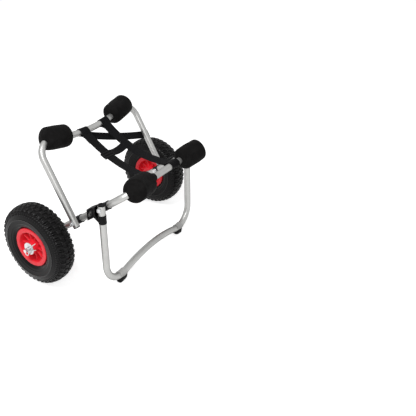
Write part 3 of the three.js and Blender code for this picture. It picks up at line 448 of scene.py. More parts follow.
def makePlastic(name, colour, worn, rough, grainScale=650.0, depth=0.00012, specular=0.07):
    material, tree, shader, at = newMaterial(name, Specular_IOR_Level=specular)
    fine = usePattern(tree, grain, at["Object"], Scale=grainScale, Coarse=0.3)
    tone = usePattern(tree, patches, at["Object"], Scale=20.0, Low=0.3, High=0.8)
    wear = usePattern(tree, edgeWear, at["Object"], From=0.53, To=0.62, Scale=150.0)
    both = scaled(tree, tone, 0.25, scaled(tree, wear, 0.5), True)
    colour = blendColours(tree, both, colour, worn)
    return finishMaterial(material, tree, shader, colour, fine, (0.22, rough), fine, (depth, 0.5))


webLook = {"colour": (0.003, 0.003, 0.0035, 1), "thread": (0.011, 0.011, 0.012, 1), "specular": 0.06,
           "pitch": 0.0017, "fuzz": 1500.0, "faded": 16.0, "rough": (0.2, 0.6), "bump": (0.0004, 0.8)}


def makeWebbing():
    look = webLook
    material, tree, shader, at = newMaterial("wovenWebbing", Specular_IOR_Level=look["specular"])
    threads = usePattern(tree, weave, at["UV"], Pitch=look["pitch"])
    fuzz = usePattern(tree, grain, at["Object"], Scale=look["fuzz"], Coarse=0.3)
    faded = usePattern(tree, patches, at["Object"], Scale=look["faded"], Low=0.4, High=0.75)
    top = addMath(tree, "MULTIPLY", threads, scaled(tree, faded, 0.5, 0.5))
    colour = blendColours(tree, top, look["colour"], look["thread"])
    height = scaled(tree, fuzz, 0.25, threads)
    return finishMaterial(material, tree, shader, colour, fuzz, look["rough"], height, look["bump"])


looks = {"tube_aluminium": makeAluminium(), "steel": makeSteel(), "foam": makeFoam(),
         "tyre_rubber": makeTyreRubber(), "webbing": makeWebbing(),
         "black_plastic": makePlastic("mouldedBlackPlastic", (0.004, 0.004, 0.0045, 1), (0.03, 0.03, 0.03, 1), 0.36),
         "soft_rubber": makePlastic("softBlackRubber", (0.006, 0.006, 0.0065, 1), (0.025, 0.025, 0.025, 1),
                                    0.6, 400.0, 0.0002),
         "rim_plastic": makePlastic("mouldedRedPlastic", (0.80, 0.018, 0.034, 1), (0.82, 0.05, 0.06, 1),
                                    0.28, 500.0, 0.0001, 0.3),
         "nylon": makePlastic("naturalNylon", (0.42, 0.38, 0.36, 1), (0.2, 0.13, 0.11, 1), 0.4),
         "footBand": makePlastic("greyFootBand", (0.42, 0.42, 0.41, 1), (0.6, 0.6, 0.59, 1), 0.4)}
print("materials made")


# The bar follows a circle that dips to the middle: height = centre - sqrt(radius^2 - x^2)
def barCircle(arch):
    radius = (arch["half"] ** 2 + arch["dip"] ** 2) / (2 * arch["dip"])
    return radius, arch["reach"] - arch["dip"] + radius


def barHeight(arch, x):
    radius, centre = barCircle(arch)
    return centre - np.sqrt(radius ** 2 - x ** 2)


# Leg, bend tangent to leg and bar, half of the dipped bar, and their mirror image
def archPath(arch, down=False):
    radius, centre = barCircle(arch)
    bend, bendX = arch["bend"], arch["half"] - arch["bend"]
    far = radius + bend
    bendZ = centre - math.sqrt(far ** 2 - bendX ** 2)
    legZ = np.linspace(-arch["tail"], bendZ, tubing["legSteps"], endpoint=False)
    angle = np.pi - np.linspace(0, 1, tubing["bendSteps"]) * (np.pi / 2 + math.asin(bendX / far))
    barX = np.linspace(-bendX * radius / far, 0, tubing["barSteps"] + 1)[1:]
    x = np.concatenate([np.full(len(legZ), -arch["half"]), bend * np.cos(angle) - bendX, barX])
    z = np.concatenate([legZ, bendZ + bend * np.sin(angle), barHeight(arch, barX)])
    half = np.stack([x, np.zeros_like(x), -z if down else z], -1)
    return np.concatenate([half, (half * [-1, 1, 1])[-2::-1]])


# Tube ends are cut square: the wall shows, with a small break at its outer edge
def tubeShell(path, place):
    radius, bore, edge, deep = tubing["radius"], tubing["radius"] - tubing["wall"], 0.4, 5.0
    tangent = tangentsOf(path)
    first, last, t0, t1 = path[:1], path[-1:], tangent[:1], tangent[-1:]
    points = np.concatenate([first + t0 * deep, first, first, first + t0 * edge, path[1:-1],
                             last - t1 * edge, last, last, last - t1 * deep])
    tangents = np.concatenate([t0, t0, t0, t0, tangent[1:-1], t1, t1, t1, t1])
    ends = [bore, bore, radius - edge, radius]
    radii = np.array(ends + [radius] * (len(path) - 2) + ends[::-1])
    section = circle(1, tubing["around"])[None] * radii[:, None, None]
    return shell(place(carried(points, section, (0, 1, 0), tangents)))


frontPath, rearPath, kickPath = archPath(frontArch), archPath(rearArch), archPath(kickstand, down=True)
makePiece("front_arch", [tubeShell(frontPath, onFront)], "tube_aluminium", "front_frame", "front_arch_tube")
makePiece("rear_arch", [tubeShell(rearPath, onRear)], "tube_aluminium", "rear_frame", "rear_arch_tube")
makePiece("kickstand_arch", [tubeShell(kickPath, onKick)], "tube_aluminium", "kickstand", "kickstand_tube")
print("tube frame made")

capSizes = {"rim": 11.0, "thick": 2.8, "tall": 4.8, "recess": 6.2, "deep": 1.8,
            "plug": 8.6, "plugDeep": 5.0, "gap": 0.3}


# A plug with a rounded rim and a round recess, in a leg that ends below or above
def capPiece(name, node, sign, arch, place, body, up=False):
    c = capSizes
    top = c["gap"] + c["tall" if up else "thick"]
    line = [[-c["plugDeep"], 0.4], [-c["plugDeep"], c["plug"]], [c["gap"], c["plug"]], [c["gap"], c["rim"]],
            [top, c["rim"] - 0.6], [top, c["recess"]], [top - c["deep"], c["recess"] - 0.8], [top - c["deep"], 0.4]]
    facing, end = ([1, 1, 1], arch["tail"]) if up else ([1, -1, -1], -arch["tail"])

    def atEnd(points):
        return place(axesTo(points, "yzx") * facing + [sign * arch["half"], 0, end])

    makePiece(name, [lathed(line, 0.7, 4, 40, place=atEnd)], "black_plastic", body, node)


for side, sign in sides:
    capPiece(f"front_leg_end_{side}", f"front_leg_cap_{side}", sign, frontArch, onFront, "front_frame")
    capPiece(f"rear_leg_end_{side}", f"rear_leg_cap_{side}", sign, rearArch, onRear, "rear_frame")
    capPiece(f"kickstand_leg_end_{side}", f"kickstand_cap_{side}", sign, kickstand, onKick, "kickstand", up=True)

saddle = {"length": 20.0, "wall": 2.2, "lip": 0.8, "lipWidth": 3.2, "boss": 9.0, "flare": 1.5, "washer": 0.75}
bolt = {"shank": 4.0, "head": 5.8, "headThick": 4.8, "dome": 1.4, "socket": 2.2, "socketDeep": 2.4,
        "washer": 7.6, "washerThick": 1.5, "pastLeg": 9.0}
nut = {"width": 13.0, "thick": 6.0, "chamfer": 0.8}


# From the pivot's own axes, outside towards +X, to the pivot of one side
def atPivot(sign, arch):
    return lambda points: onFront(points * [sign, 1, 1] + [0, 0, arch["hingeAt"]])


# A sleeve round a tube along Z with a lip at each end
def sleeveOf(length, wall, lip, lipWidth, move, place):
    inner = tubing["radius"] + tubing["gap"]
    outer, half = inner + wall, length / 2
    line = [[-half, inner], [-half, outer], [lipWidth - half, outer], [lipWidth + 0.6 - half, outer - lip],
            [half - lipWidth - 0.6, outer - lip], [half - lipWidth, outer], [half, outer], [half, inner]]
    return lathed(line, 0.6, 3, 44, True, lambda points: place(axesTo(points, "yzx", move)))


# A sleeve on the front leg and a boss towards the neighbouring leg
def saddlePiece(name, sign, arch, node):
    s, leg = saddle, frontArch["half"]
    start, end = leg + tubing["radius"] + 0.5, arch["half"] - tubing["radius"] - s["washer"]
    boss = [[start, 0.4], [start, s["boss"] + s["flare"]], [end, s["boss"]], [end, 0.4]]
    sleeve = sleeveOf(s["length"], s["wall"], s["lip"], s["lipWidth"], (sign * leg, 0, arch["hingeAt"]), onFront)
    makePiece(name, [sleeve, lathed(boss, 1.0, 4, 36, place=atPivot(sign, arch))], "black_plastic", "front_frame", node)


# A domed head with a socket, its shank and its washer
def boltPiece(name, sign, arch, node):
    b, place = bolt, atPivot(sign, arch)
    face = arch["half"] + tubing["radius"] + b["washerThick"] + tubing["gap"]
    top, floor = face + b["headThick"], face + b["headThick"] - b["socketDeep"]
    tip = frontArch["half"] - tubing["radius"] - tubing["gap"] - saddle["wall"] - b["pastLeg"]
    head = [[face, 0.4], [face, b["head"]], [top - b["dome"], b["head"]], [top, b["head"] - 2.4], [top, b["socket"]],
            [floor, b["socket"] - 0.3], [floor, 0.3]]
    shank = [[tip, 0.4], [tip, b["shank"] - 0.6], [tip + 0.8, b["shank"]], [face, b["shank"]], [face, 0.4]]
    washer = ringOf(b["shank"], b["washer"], face - b["washerThick"], face - 0.02, 0.3, place)
    turnedParts = [lathed(head, 1.2, 4, 40, place=place), lathed(shank, 0.4, 2, 20, place=place)]
    makePiece(name, turnedParts + [washer], "steel", "front_frame", node)


# A hexagon along X whose corners are cut back towards its faces
def hexagonOf(width, thick, start, chamfer, place):
    angle = anglesOf(60)
    flat = width / 2 / np.cos((angle + np.pi / 6) % (np.pi / 3) - np.pi / 6)
    cut, centre = np.minimum(flat, width / 2 + 0.25), np.full(60, 0.4)
    radii = np.array([centre, cut, flat, flat, cut, centre])[..., None]
    x = start + np.array([0, 0, chamfer, thick - chamfer, thick, thick])
    return shell(place(np.concatenate([np.broadcast_to(x[:, None, None], radii.shape), radii * onCircle(angle)], -1)))


def nutPiece(name, sign, arch, node):
    place, thick = atPivot(sign, arch), bolt["washerThick"]
    face = frontArch["half"] - tubing["radius"] - saddle["wall"] - 2 * tubing["gap"]
    hexagon = hexagonOf(nut["width"], nut["thick"], face - thick - nut["thick"], nut["chamfer"], place)
    washer = ringOf(4, bolt["washer"], face - thick, face, 0.3, place)
    makePiece(name, [hexagon, washer], "steel", "front_frame", node, 25)


for side, sign in sides:
    for title, arch in (("fold", rearArch), ("kickstand", kickstand)):
        saddlePiece(f"{title}_pivot_saddle_{side}", sign, arch, f"{title}_saddle_{side}")
        boltPiece(f"{title}_pivot_bolt_{side}", sign, arch, f"{title}_bolt_{side}")
        nutPiece(f"{title}_pivot_nut_{side}", sign, arch, f"{title}_nut_{side}")
print("end caps and pivots made")

yoke = {"from": 19.0, "length": 28.0, "wall": 1.4, "lip": 0.4, "lipWidth": 4.0, "web": 6.0, "webAt": 224.7,
        "reach": 43.0, "hookTop": 4.0, "hookLength": 20.0, "arm": 16.0, "hold": 11.3,
        "ridge": 0.9, "border": 2.3, "wedge": 14.0, "wedgeFrom": 8.0, "wedgeTo": 40.0,
        "ribs": (5.5, 10.5), "ribLine": ((13, 0), (25, 2), (38, 4))}


# A place beside the front leg, in the kickstand's plane: down the leg and above its middle line
def besideFrontLeg(down, above):
    turn = math.radians(frontArch["lean"] - kickstand["lean"])
    return [above * math.cos(turn) + down * math.sin(turn), above * math.sin(turn) - down * math.cos(turn)]


# The plate grows outwards to the sleeve: wedge * (wedgeTo - y) / (wedgeTo - wedgeFrom), from 0 to wedge
def yokeWedge(y):
    return yoke["wedge"] * np.clip((yoke["wedgeTo"] - y) / (yoke["wedgeTo"] - yoke["wedgeFrom"]), 0, 1)


# A sleeve on the leg, and a hooked plate with a raised border and two ribs along its arm
def yokePiece(name, sign, node):
    y = yoke
    bottom, top = -y["from"] - y["length"], -y["from"]
    rise, inside, face = y["hold"] + y["hookTop"], y["reach"] - y["hookTop"], y["webAt"] + y["web"]
    outline = [[3, bottom], [y["reach"], bottom + y["hookTop"]], besideFrontLeg(y["reach"], rise),
               besideFrontLeg(y["reach"] - y["hookLength"], rise), besideFrontLeg(inside, y["hold"] / 2),
               [inside, bottom + y["arm"] + y["hookTop"]], [tubing["radius"], bottom + y["arm"]], [3, top]]
    outline = softened(outline, 2.2, 5, closed=True)
    middle = face - y["web"] / 2
    web = axesTo(prism(outline, y["web"], 0.9), "zxy", (middle, 0, 0))
    web[..., 0] += yokeWedge(web[..., 1]) * (web[..., 0] > middle)
    leg = (sign * kickstand["half"], 0, (bottom + top) / 2)
    sleeve = sleeveOf(y["length"], y["wall"], y["lip"], y["lipWidth"], leg, onKick)
    border = outline + squareTo(closedTangents(outline)) * y["border"]
    path = np.stack([face + yokeWedge(border[:, 0]), *border.T], -1) * [sign, 1, 1]
    ridge = carried(path, circle(y["ridge"], 10), (1, 0, 0), closedTangents(path))
    parts = [sleeve, shell(onKick(web * [sign, 1, 1])), shell(onKick(ridge), wrapRows=True)]
    for low in y["ribs"]:
        path = np.array([[face + yokeWedge(at), at, bottom + low + rise] for at, rise in y["ribLine"]]) * [sign, 1, 1]
        parts.append(shell(onKick(carried(path, circle(y["ridge"], 10), (1, 0, 0)))))
    makePiece(name, parts, "black_plastic", "kickstand", node)


stopRivet = {"at": 178.0, "head": 3.5, "height": 1.7, "stem": 2.0, "inner": -13.9}


# A domed head in the block's window and its stem through the leg
def rivetPiece(name, sign, node):
    r = stopRivet
    face = tubing["radius"] + tubing["gap"]
    top = face + r["height"]
    line = [[r["inner"], 0.3], [r["inner"], r["stem"]], [face, r["stem"]], [face, r["head"]],
            [face + r["height"] * 0.5, r["head"] * 0.92], [top, r["head"] * 0.35], [top, 0.2]]
    move = [frontArch["half"], 0, r["at"]]
    rivet = lathed(line, 0.6, 4, 28, place=lambda points: onFront((points + move) * [sign, 1, 1]))
    makePiece(name, [rivet], "black_plastic", "front_frame", node)


footBand = {"length": 32.0, "wall": 3.0, "edge": 1.2}


# Half a ring over the tube's upper side, carried along the bend: its wall thins to a quarter round at both ends
def bandPiece(name, sign, node):
    line = evenly(kickPath, 1400)
    step = float(np.linalg.norm(line[1] - line[0]))
    middle = int(np.argmin(np.abs(line[:, 0] - sign * (kickstand["half"] - kickstand["bend"]))))
    count = int(footBand["length"] / 2 / step)
    path = line[middle - count:middle + count + 1]
    fromEnd = footBand["length"] / 2 - np.abs(np.arange(-count, count + 1)) * step
    short = np.clip(1 - fromEnd / footBand["edge"], 0, 1)
    inner = tubing["radius"] + tubing["gap"]
    outer = inner + footBand["wall"] - footBand["edge"] * (1 - np.sqrt(1 - short ** 2))
    half = onCircle(np.radians(np.linspace(-2, 182, 30)))
    section = np.concatenate([half[None] * outer[:, None, None], np.repeat(half[None, ::-1] * inner, len(path), 0)], 1)
    part = shell(onKick(carried(path, section, (0, 1, 0))))
    makePiece(name, [part], "tube_aluminium", "kickstand", node, look="footBand")


sole = {"heights": (0.0, 0.35, 1.6, 4.0, 9.0, 16.0, 24.0), "lengths": (14.6, 16.4, 17.6, 18.2, 18.4, 18.5, 18.5),
        "widths": (6.5, 8.2, 9.6, 10.4, 11.2, 11.9, 11.9), "lift": 6.5, "liftTo": 14.0, "corner": 4.0, "inward": 2.5}


# A rubber sole under the bar: |x / length|^c + |y / width|^c = 1 at each height, and its inner end lifts with the bar
def solePiece(name, sign, node):
    s = sole
    low, high = boxOf(node)
    ring = circle(1, 48)
    ring *= (np.abs(ring) ** s["corner"]).sum(1, keepdims=True) ** (-1 / s["corner"])
    lengths, widths, heights = (np.array(s[key])[:, None] for key in ("lengths", "widths", "heights"))
    x, y = lengths * ring[:, 0], widths * ring[:, 1]
    rise = heights + s["lift"] * (1 - x * sign / lengths.max()) / 2 * np.clip(1 - heights / s["liftTo"], 0, 1)
    middle = (low + high) / 2 - [sign * s["inward"], 0, 0]
    points = np.stack([x + middle[0], y + middle[1], rise + low[2]], -1)
    makePiece(name, [shell(points)], "soft_rubber", "kickstand", node)


stopBlock = {"edge": 0.7, "weld": 0.01, "flat": 2.0, "bevelFrom": 32.0, "sharpFrom": 30.0}


# The CAD stop block's own shape with its edges rounded
def blockPiece(name, node):
    s = stopBlock
    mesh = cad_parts[node].data.copy()
    mesh.name = name
    mesh.materials.clear()
    mesh.materials.append(looks["black_plastic"])
    piece = linked(name, mesh)
    setAll(piece.modifiers.new("weld", "WELD"), {"merge_threshold": s["weld"] * mm})
    flatten, bevel = piece.modifiers.new("flatten", "DECIMATE"), piece.modifiers.new("bevel", "BEVEL")
    setAll(flatten, {"decimate_type": "DISSOLVE", "angle_limit": math.radians(s["flat"])})
    setAll(bevel, {"width": s["edge"] * mm, "segments": 3, "limit_method": "ANGLE",
                   "angle_limit": math.radians(s["bevelFrom"]), "use_clamp_overlap": True})
    applyAll(piece)
    piece.data.shade_smooth()
    piece.data.set_sharp_from_angle(angle=math.radians(s["sharpFrom"]))
    dressed(piece, "front_frame", node)


for side, sign in sides:
    blockPiece(f"kickstand_stop_{side}", f"stop_block_{side}")
    rivetPiece(f"kickstand_stop_rivet_{side}", sign, f"stop_rivet_{side}")
    yokePiece(f"kickstand_web_{side}", sign, f"kickstand_yoke_{side}")
    solePiece(f"kickstand_sole_{side}", sign, f"kickstand_foot_{side}")
    bandPiece(f"kickstand_band_{side}", sign, f"kickstand_foot_band_{side}")
print("stop blocks, yokes and feet made")

wheel = {"track": 312.0, "seat": 58.0, "rows": 116, "lugs": 42, "perLug": 14, "treadRadius": 131.0,
         "sipe": 1.4, "slant": 5.0, "slantOver": 30.0, "soft": 0.9,
         "crown": {"height": 4.2, "width": 12.0, "from": 1.6, "to": 13.5},
         "block": {"height": 4.2, "width": 9.5, "from": 16.0, "to": 31.5},
         "between": {"height": 2.4, "width": 4.6, "from": 17.5, "to": 29.0},
         "rib": {"height": 1.7, "width": 4.8, "from": 34.0, "to": 43.0},
         "ridges": ((74.5, 0.9, 1.5), (83.0, 0.7, 1.1), (96.6, 1.4, 1.3)),
         "outer": ((29.7, 66.2), (33.5, 69.5), (36.8, 77), (39.2, 88), (39.6, 99), (36.5, 111), (28, 122.5),
                   (14, 128.2), (0, 129.3)),
         "inner": ((29.7, 62), (29.7, 58.4), (24.7, 58.4), (24.7, 66), (33, 84), (33, 102), (22, 119), (0, 124))}


# Built with the outer side towards +X, then half a turn about Z for the left side
def sidePlace(sign, track=0.0):
    return lambda points: points * [sign, sign, 1] + [sign * track, axleFromFront, axleHeight]


def smoothStep(value, low, high):
    t = np.clip((value - low) / (high - low), 0, 1)
    return t * t * (3 - 2 * t)


# The carcass line swells with knobs: point + normal * sum of height * (across the knob) * (along the profile).
# Each side has crown lugs, blocks with a low one between, and fine shoulder ribs, half a step from the other side's
def tyreGrid():
    w, soft = wheel, wheel["soft"]
    outer, inner = (np.array(w[key]) for key in ("outer", "inner"))
    outer = evenly(softened(np.concatenate([outer, outer[-2::-1] * [-1, 1]]), 30, 8), w["rows"])
    inner = softened(np.concatenate([inner * [-1, 1], inner[-2::-1]]), 3, 1)
    normal = squareTo(tangentsOf(outer))
    normal *= np.sign((normal * (outer - [0, 95])).sum(1, keepdims=True))
    count = w["lugs"] * w["perLug"]
    angle = anglesOf(count)
    fromMiddle = np.abs(np.arange(len(outer)) - (len(outer) - 1) / 2)[:, None] * np.linalg.norm(outer[1] - outer[0])
    x, r = outer[:, :1], outer[:, 1:]
    pitch = 2 * np.pi * w["treadRadius"] / w["lugs"]
    slant = fromMiddle / w["slantOver"] * w["slant"] / pitch * np.sign(x)
    turn = angle[None] / (2 * np.pi) * w["lugs"] - np.where(x > 0, 0.25, 0.75) - slant

    def knobs(kind, shift=0.0, perLug=1):
        place = ((turn * perLug - shift + 0.5) % 1 - 0.5) * pitch / perLug
        across = 1 - smoothStep(np.abs(place), kind["width"] / 2 - soft, kind["width"] / 2 + soft)
        rising, falling = (smoothStep(fromMiddle, kind[key] - soft, kind[key] + soft) for key in ("from", "to"))
        sipe = w["sipe"] * np.exp(-(place / soft) ** 2) * (kind["height"] > 3)
        return across * rising * (1 - falling) * (kind["height"] - sipe)

    ridge = sum(high * np.exp(-((r - at) / wide) ** 2) for at, high, wide in w["ridges"])
    height = knobs(w["crown"]) + knobs(w["block"], 0.5) + knobs(w["between"]) + knobs(w["rib"], 0.0, 2) + ridge
    line = np.concatenate([outer[:, None] + normal[:, None] * height[..., None], np.repeat(inner[:, None], count, 1)])
    return np.stack([line[..., 0], -line[..., 1] * np.sin(angle), line[..., 1] * np.cos(angle)], -1)


rimSizes = {"flange": 65.5, "half": 33.0, "lip": 3.0, "face": 15.0, "well": 48.0, "wellHalf": 11.0, "wall": 4.0,
            "hub": 23.0, "hubHalf": 38.0, "bore": 9.3, "ribs": 10, "ribThick": 3.5, "ribBack": 9.0, "webAt": -9.0}


# The rim's profile, the web, the hub and the ribs between them
def rimParts(place):
    s, half, well, web = rimSizes, rimSizes["half"], rimSizes["well"], rimSizes["webAt"]
    seatOuter, face = half - s["lip"], s["flange"] - s["face"]
    outer = [[seatOuter, s["flange"]], [seatOuter, wheel["seat"]], [seatOuter - 10, wheel["seat"] - 0.5],
             [s["wellHalf"], well]]
    inner = [[half, s["flange"] - 2.2], [half, face + 1], [half - 2, face - 1],
             [s["wellHalf"] + 3, well - s["wall"] + 1.5], [s["wellHalf"] - 4, well - s["wall"]]]
    line = outer + [[-x, r] for x, r in outer[::-1]] + [[-x, r] for x, r in inner] + inner[::-1]
    disc = [[web - s["wall"], s["hub"] - 2], [web - s["wall"], well - 2], [web, well - 2], [web, s["hub"] - 2]]
    hub = [[-s["hubHalf"], s["bore"]], [-s["hubHalf"], s["hub"] - 1], [web, s["hub"]],
           [s["hubHalf"] - 2, s["hub"] - 1.5], [s["hubHalf"], s["hub"] - 3.5], [s["hubHalf"], s["bore"]]]
    parts = [lathed(line, 1.6, 4, 96, True, place), lathed(disc, 1, 3, 64, True, place),
             lathed(hub, 1, 4, 56, True, place)]
    reach, start, end = half - s["ribBack"], s["hub"] - 3, well - 2
    outline = softened([[-reach, start], [-reach, end], [reach, end], [reach - 1, start]], 2, 4, closed=True)
    rib = axesTo(prism(outline, s["ribThick"], 1.2), "xzy")
    return parts + [shell(place(leaned(rib, turn))) for turn in (np.arange(s["ribs"]) + 0.5) / s["ribs"] * 360]


valve = {"turn": 176.0, "cap": 4.5, "capLength": 12.0, "stem": 3.25, "tip": 29.0, "end": 62.9, "flange": 8.0,
         "ribs": 12, "ribHeight": 0.25}


# A stem with a knurled cap that points to the hub
def valveShell(place):
    v = valve
    capEnd, count = v["tip"] + v["capLength"], 72
    line = [[v["tip"], 0.3], [v["tip"], v["cap"] - 1.2], [v["tip"] + 1.5, v["cap"]], [capEnd, v["cap"]],
            [capEnd + 0.6, v["stem"]], [v["end"] - 2, v["stem"]], [v["end"] - 1.6, v["flange"]],
            [v["end"], v["flange"]], [v["end"], 0.3]]
    points = turned(softened(line, 0.6, 3), count)
    knurl = np.cos(anglesOf(count) * v["ribs"]) * v["ribHeight"] / v["cap"]
    onCap = (points[..., 0] > v["tip"] + 1) & (points[..., 0] < capEnd - 0.5)
    points[..., 1:] *= 1 + np.where(onCap, knurl[None], 0)[..., None]
    return shell(place(leaned(axesTo(points, "yzx"), v["turn"])))


hubSleeve = {"bore": 6.15, "radius": 9.0, "half": 38.0, "edge": 0.4}
tyrePoints = tyreGrid()
for side, sign in sides:
    place, body, h = sidePlace(sign, wheel["track"]), f"wheel_{side}", hubSleeve
    makePiece(f"knobby_tyre_{side}", [shell(place(tyrePoints), wrapRows=True)], "tyre_rubber", body, f"tyre_{side}", 50)
    makePiece(f"wheel_rim_{side}", rimParts(place), "rim_plastic", body, f"rim_{side}")
    makePiece(f"valve_{side}", [valveShell(place)], "black_plastic", body, f"valve_stem_{side}", look="soft_rubber")
    sleeve = ringOf(h["bore"], h["radius"], -h["half"], h["half"], h["edge"], place)
    makePiece(f"hub_sleeve_{side}", [sleeve], "nylon", body, f"hub_bush_{side}")
    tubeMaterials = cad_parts[f"inner_tube_{side}"].data.materials
    tubeMaterials.clear()
    tubeMaterials.append(looks["soft_rubber"])
print("wheels made")

axle = {"radius": 6.0, "end": 369.8, "legFace": 199.2, "nutWidth": 19.0, "nutThick": 9.0,
        "washer": 20.0, "washerThick": 2.5, "washerBore": 6.4,
        "hubInner": 274.0, "hubOuter": 350.0, "spacer": 9.5, "spacerBore": 6.5, "gap": 0.3}
clip = {"wire": 1.6, "loop": 7.5, "reach": 54.0, "back": 22.0, "flareReach": 38.0, "flare": 17.0,
        "fromEnd": 12.0, "turn": 44.0}


# One straight leg through the pin, a round loop, and a wavy leg that hugs the pin and flares
def clipShell(place):
    c, a = clip, axle["radius"]
    hug = a + 0.3 + c["wire"]
    loop = [c["loop"] - c["back"], c["loop"]] + c["loop"] * onCircle(-np.pi / 2 - np.linspace(0, np.pi, 9))
    straight = [[c["reach"], 0], [c["reach"] * 0.5, 0]]
    wavy = [[-a, (hug + 2 * c["loop"]) / 2], [0, hug + 0.3], [a, hug + 0.3], [c["flareReach"], c["flare"]]]
    flat = softened(np.concatenate([straight, loop, wavy]), 8, 6)
    path = leaned(np.stack([np.full(len(flat), axle["end"] - c["fromEnd"]), flat[:, 1], flat[:, 0]], -1), -c["turn"])
    radii = np.full(len(path), c["wire"])
    radii[[0, -1]] *= 0.7
    return shell(place(carried(path, circle(1, 16)[None] * radii[:, None, None], (1, 0, 0))))


for side, sign in sides:
    place, a = sidePlace(sign), axle
    start, leg = a["legFace"] - a["nutThick"], frontArch["half"] + tubing["radius"]
    line = [[start - 1, 0.4], [start - 1, a["radius"]], [a["end"], a["radius"]], [a["end"], 0.4]]
    pin = lathed(line, 1.2, 4, 40, place=place)
    makePiece(f"axle_{side}", [pin], "steel", "front_frame", f"axle_pin_{side}")
    hexagon = hexagonOf(a["nutWidth"], a["nutThick"], start, 1.0, place)
    makePiece(f"axle_locknut_{side}", [hexagon], "steel", "front_frame", f"axle_nut_{side}", 25)
    spacer = ringOf(a["spacerBore"], a["spacer"], leg + a["gap"], a["hubInner"] - a["gap"], 0.5, place)
    makePiece(f"axle_spacer_tube_{side}", [spacer], "nylon", "front_frame", f"axle_spacer_{side}")
    face = a["hubOuter"] + a["gap"]
    washer = ringOf(a["washerBore"], a["washer"], face, face + a["washerThick"], 0.7, place, 64)
    makePiece(f"axle_washer_plate_{side}", [washer], "steel", "front_frame", f"axle_washer_{side}")
    makePiece(f"hairpin_{side}", [clipShell(place)], "steel", f"clip_{side}", f"r_clip_{side}")
print("axles and clips made")

pad = {"radius": 39.3, "rise": 5.0, "crown": 1.2, "round": 17.0, "around": 56, "slack": 1.2,
       "boreGap": 0.25, "boreBack": 3.5, "rows": 20, "endRows": 10, "boreRows": 26, "dents": 0.5, "waves": (13, 29, 9),
       "swell": 2.0, "pressure": 4.0, "frames": 20,
       "inset": {"front_left": 12.5, "front_right": 16.0, "rear_left": 27.0, "rear_right": 21.0},
       "length": {"front_left": 112.0, "front_right": 105.0, "rear_left": 107.0, "rear_right": 111.0}}


# Rows go round a loop: outer side, rounded outer end, bore along the tube, rounded inner end.
# The ends run from a quarter round towards the ring where the tube leaves the foam
def padShell(sign, arch, inset, length, path, place):
    p = pad
    radius, centre = barCircle(arch)
    half, middle = length / 2, math.asin((arch["half"] - inset - length / 2) / radius)
    full, flatHalf = p["radius"] - p["slack"], half - p["round"]
    phi = anglesOf(p["around"])
    across, rise = np.cos(phi), np.sin(phi)

    def barred(s, r):
        angle = middle + s / radius
        deep = radius - p["rise"] - r * rise
        y = np.broadcast_to(r * across, deep.shape)
        return np.stack([deep * np.sin(angle), y, centre - deep * np.cos(angle)], -1)

    s = np.linspace(-flatHalf, flatHalf, p["rows"])[:, None]
    first, second, third = (s / length for length in p["waves"])
    wave = np.sin(first + 2 * phi + inset) * np.sin(3 * phi + second) + 0.6 * np.sin(5 * phi - third)
    outer = barred(s, full - p["crown"] * (s / flatHalf) ** 2 + p["dents"] * wave)
    right = path[:, 0] > 0
    line, tangents = path[right][::-1], tangentsOf(path)[right][::-1]
    boreX = radius * np.sin(middle + np.linspace(half - p["boreBack"], p["boreBack"] - half, p["boreRows"]) / radius)
    order = np.argsort(line[:, 0])

    def atBore(values):
        return np.stack([np.interp(boreX, line[order, 0], values[order, i]) for i in range(3)], -1)

    rings, slope = atBore(line), unit(atBore(tangents))
    up = np.stack([-slope[:, 2], np.zeros(len(slope)), slope[:, 0]], -1)
    up = (up * np.sign(up[:, 2:]))[:, None]
    ring = across[:, None] * np.array([0, 1.0, 0]) + rise[:, None] * up
    bore = (tubing["radius"] + p["boreGap"]) * ring + rings[:, None]

    def ending(ring, direction):
        t = np.linspace(0, 1, p["endRows"] + 2)[1:-1, None]
        run = direction * (flatHalf + p["round"] * np.sin(t * np.pi / 2))
        drop = full - p["crown"] - (full - p["crown"] - tubing["radius"]) * (1 - np.cos(t * np.pi / 2))
        share = (t ** 2)[..., None]
        return barred(run, drop) * (1 - share) + ring * share

    rows = np.concatenate([outer, ending(bore[0], 1), bore, ending(bore[-1], -1)[::-1]])
    return shell(place(rows * [sign, 1, 1]), wrapRows=True)


def placesOf(mesh):
    places = np.empty(len(mesh.vertices) * 3)
    mesh.vertices.foreach_get("co", places)
    return places.reshape(-1, 3)


# Air pressure swells the skin while the bore is held, and no point moves further than the cap
def swell(piece):
    rest, first = placesOf(piece.data), pad["rows"] + pad["endRows"]
    held = piece.vertex_groups.new(name="bore")
    held.add(list(range(first * pad["around"], (first + pad["boreRows"]) * pad["around"])), 1.0, "REPLACE")
    cloth = piece.modifiers.new("cloth", "CLOTH")
    setAll(cloth.settings, {"vertex_group_mass": "bore", "use_pressure": True,
                            "uniform_pressure_force": pad["pressure"], "quality": 4})
    cloth.settings.effector_weights.gravity = 0
    cloth.point_cache.frame_end = pad["frames"]
    for moment in range(pad["frames"]):
        bpy.context.scene.frame_set(moment + 1)
    step = placesOf(seenNow(piece).data) - rest
    step *= np.minimum(1, pad["swell"] * mm / np.maximum(np.linalg.norm(step, axis=1, keepdims=True), 1e-9))
    print(piece.name, "swelled by up to", round(float(np.linalg.norm(step, axis=1).max() / mm), 2), "mm")
    piece.modifiers.clear()
    piece.vertex_groups.clear()
    piece.data.vertices.foreach_set("co", (rest + step).ravel())
    bpy.context.scene.frame_set(1)


def padPiece(title, sign, arch, path, place, body, node):
    part = padShell(sign, arch, pad["inset"][title], pad["length"][title], path, place)
    piece = makePiece(f"foam_pad_{title}", [part], "foam", sharpFrom=180)
    swell(piece)
    setAll(piece.modifiers.new("smooth", "SUBSURF"), {"levels": 1, "render_levels": 1})
    applyAll(piece)
    dressed(piece, body, node)


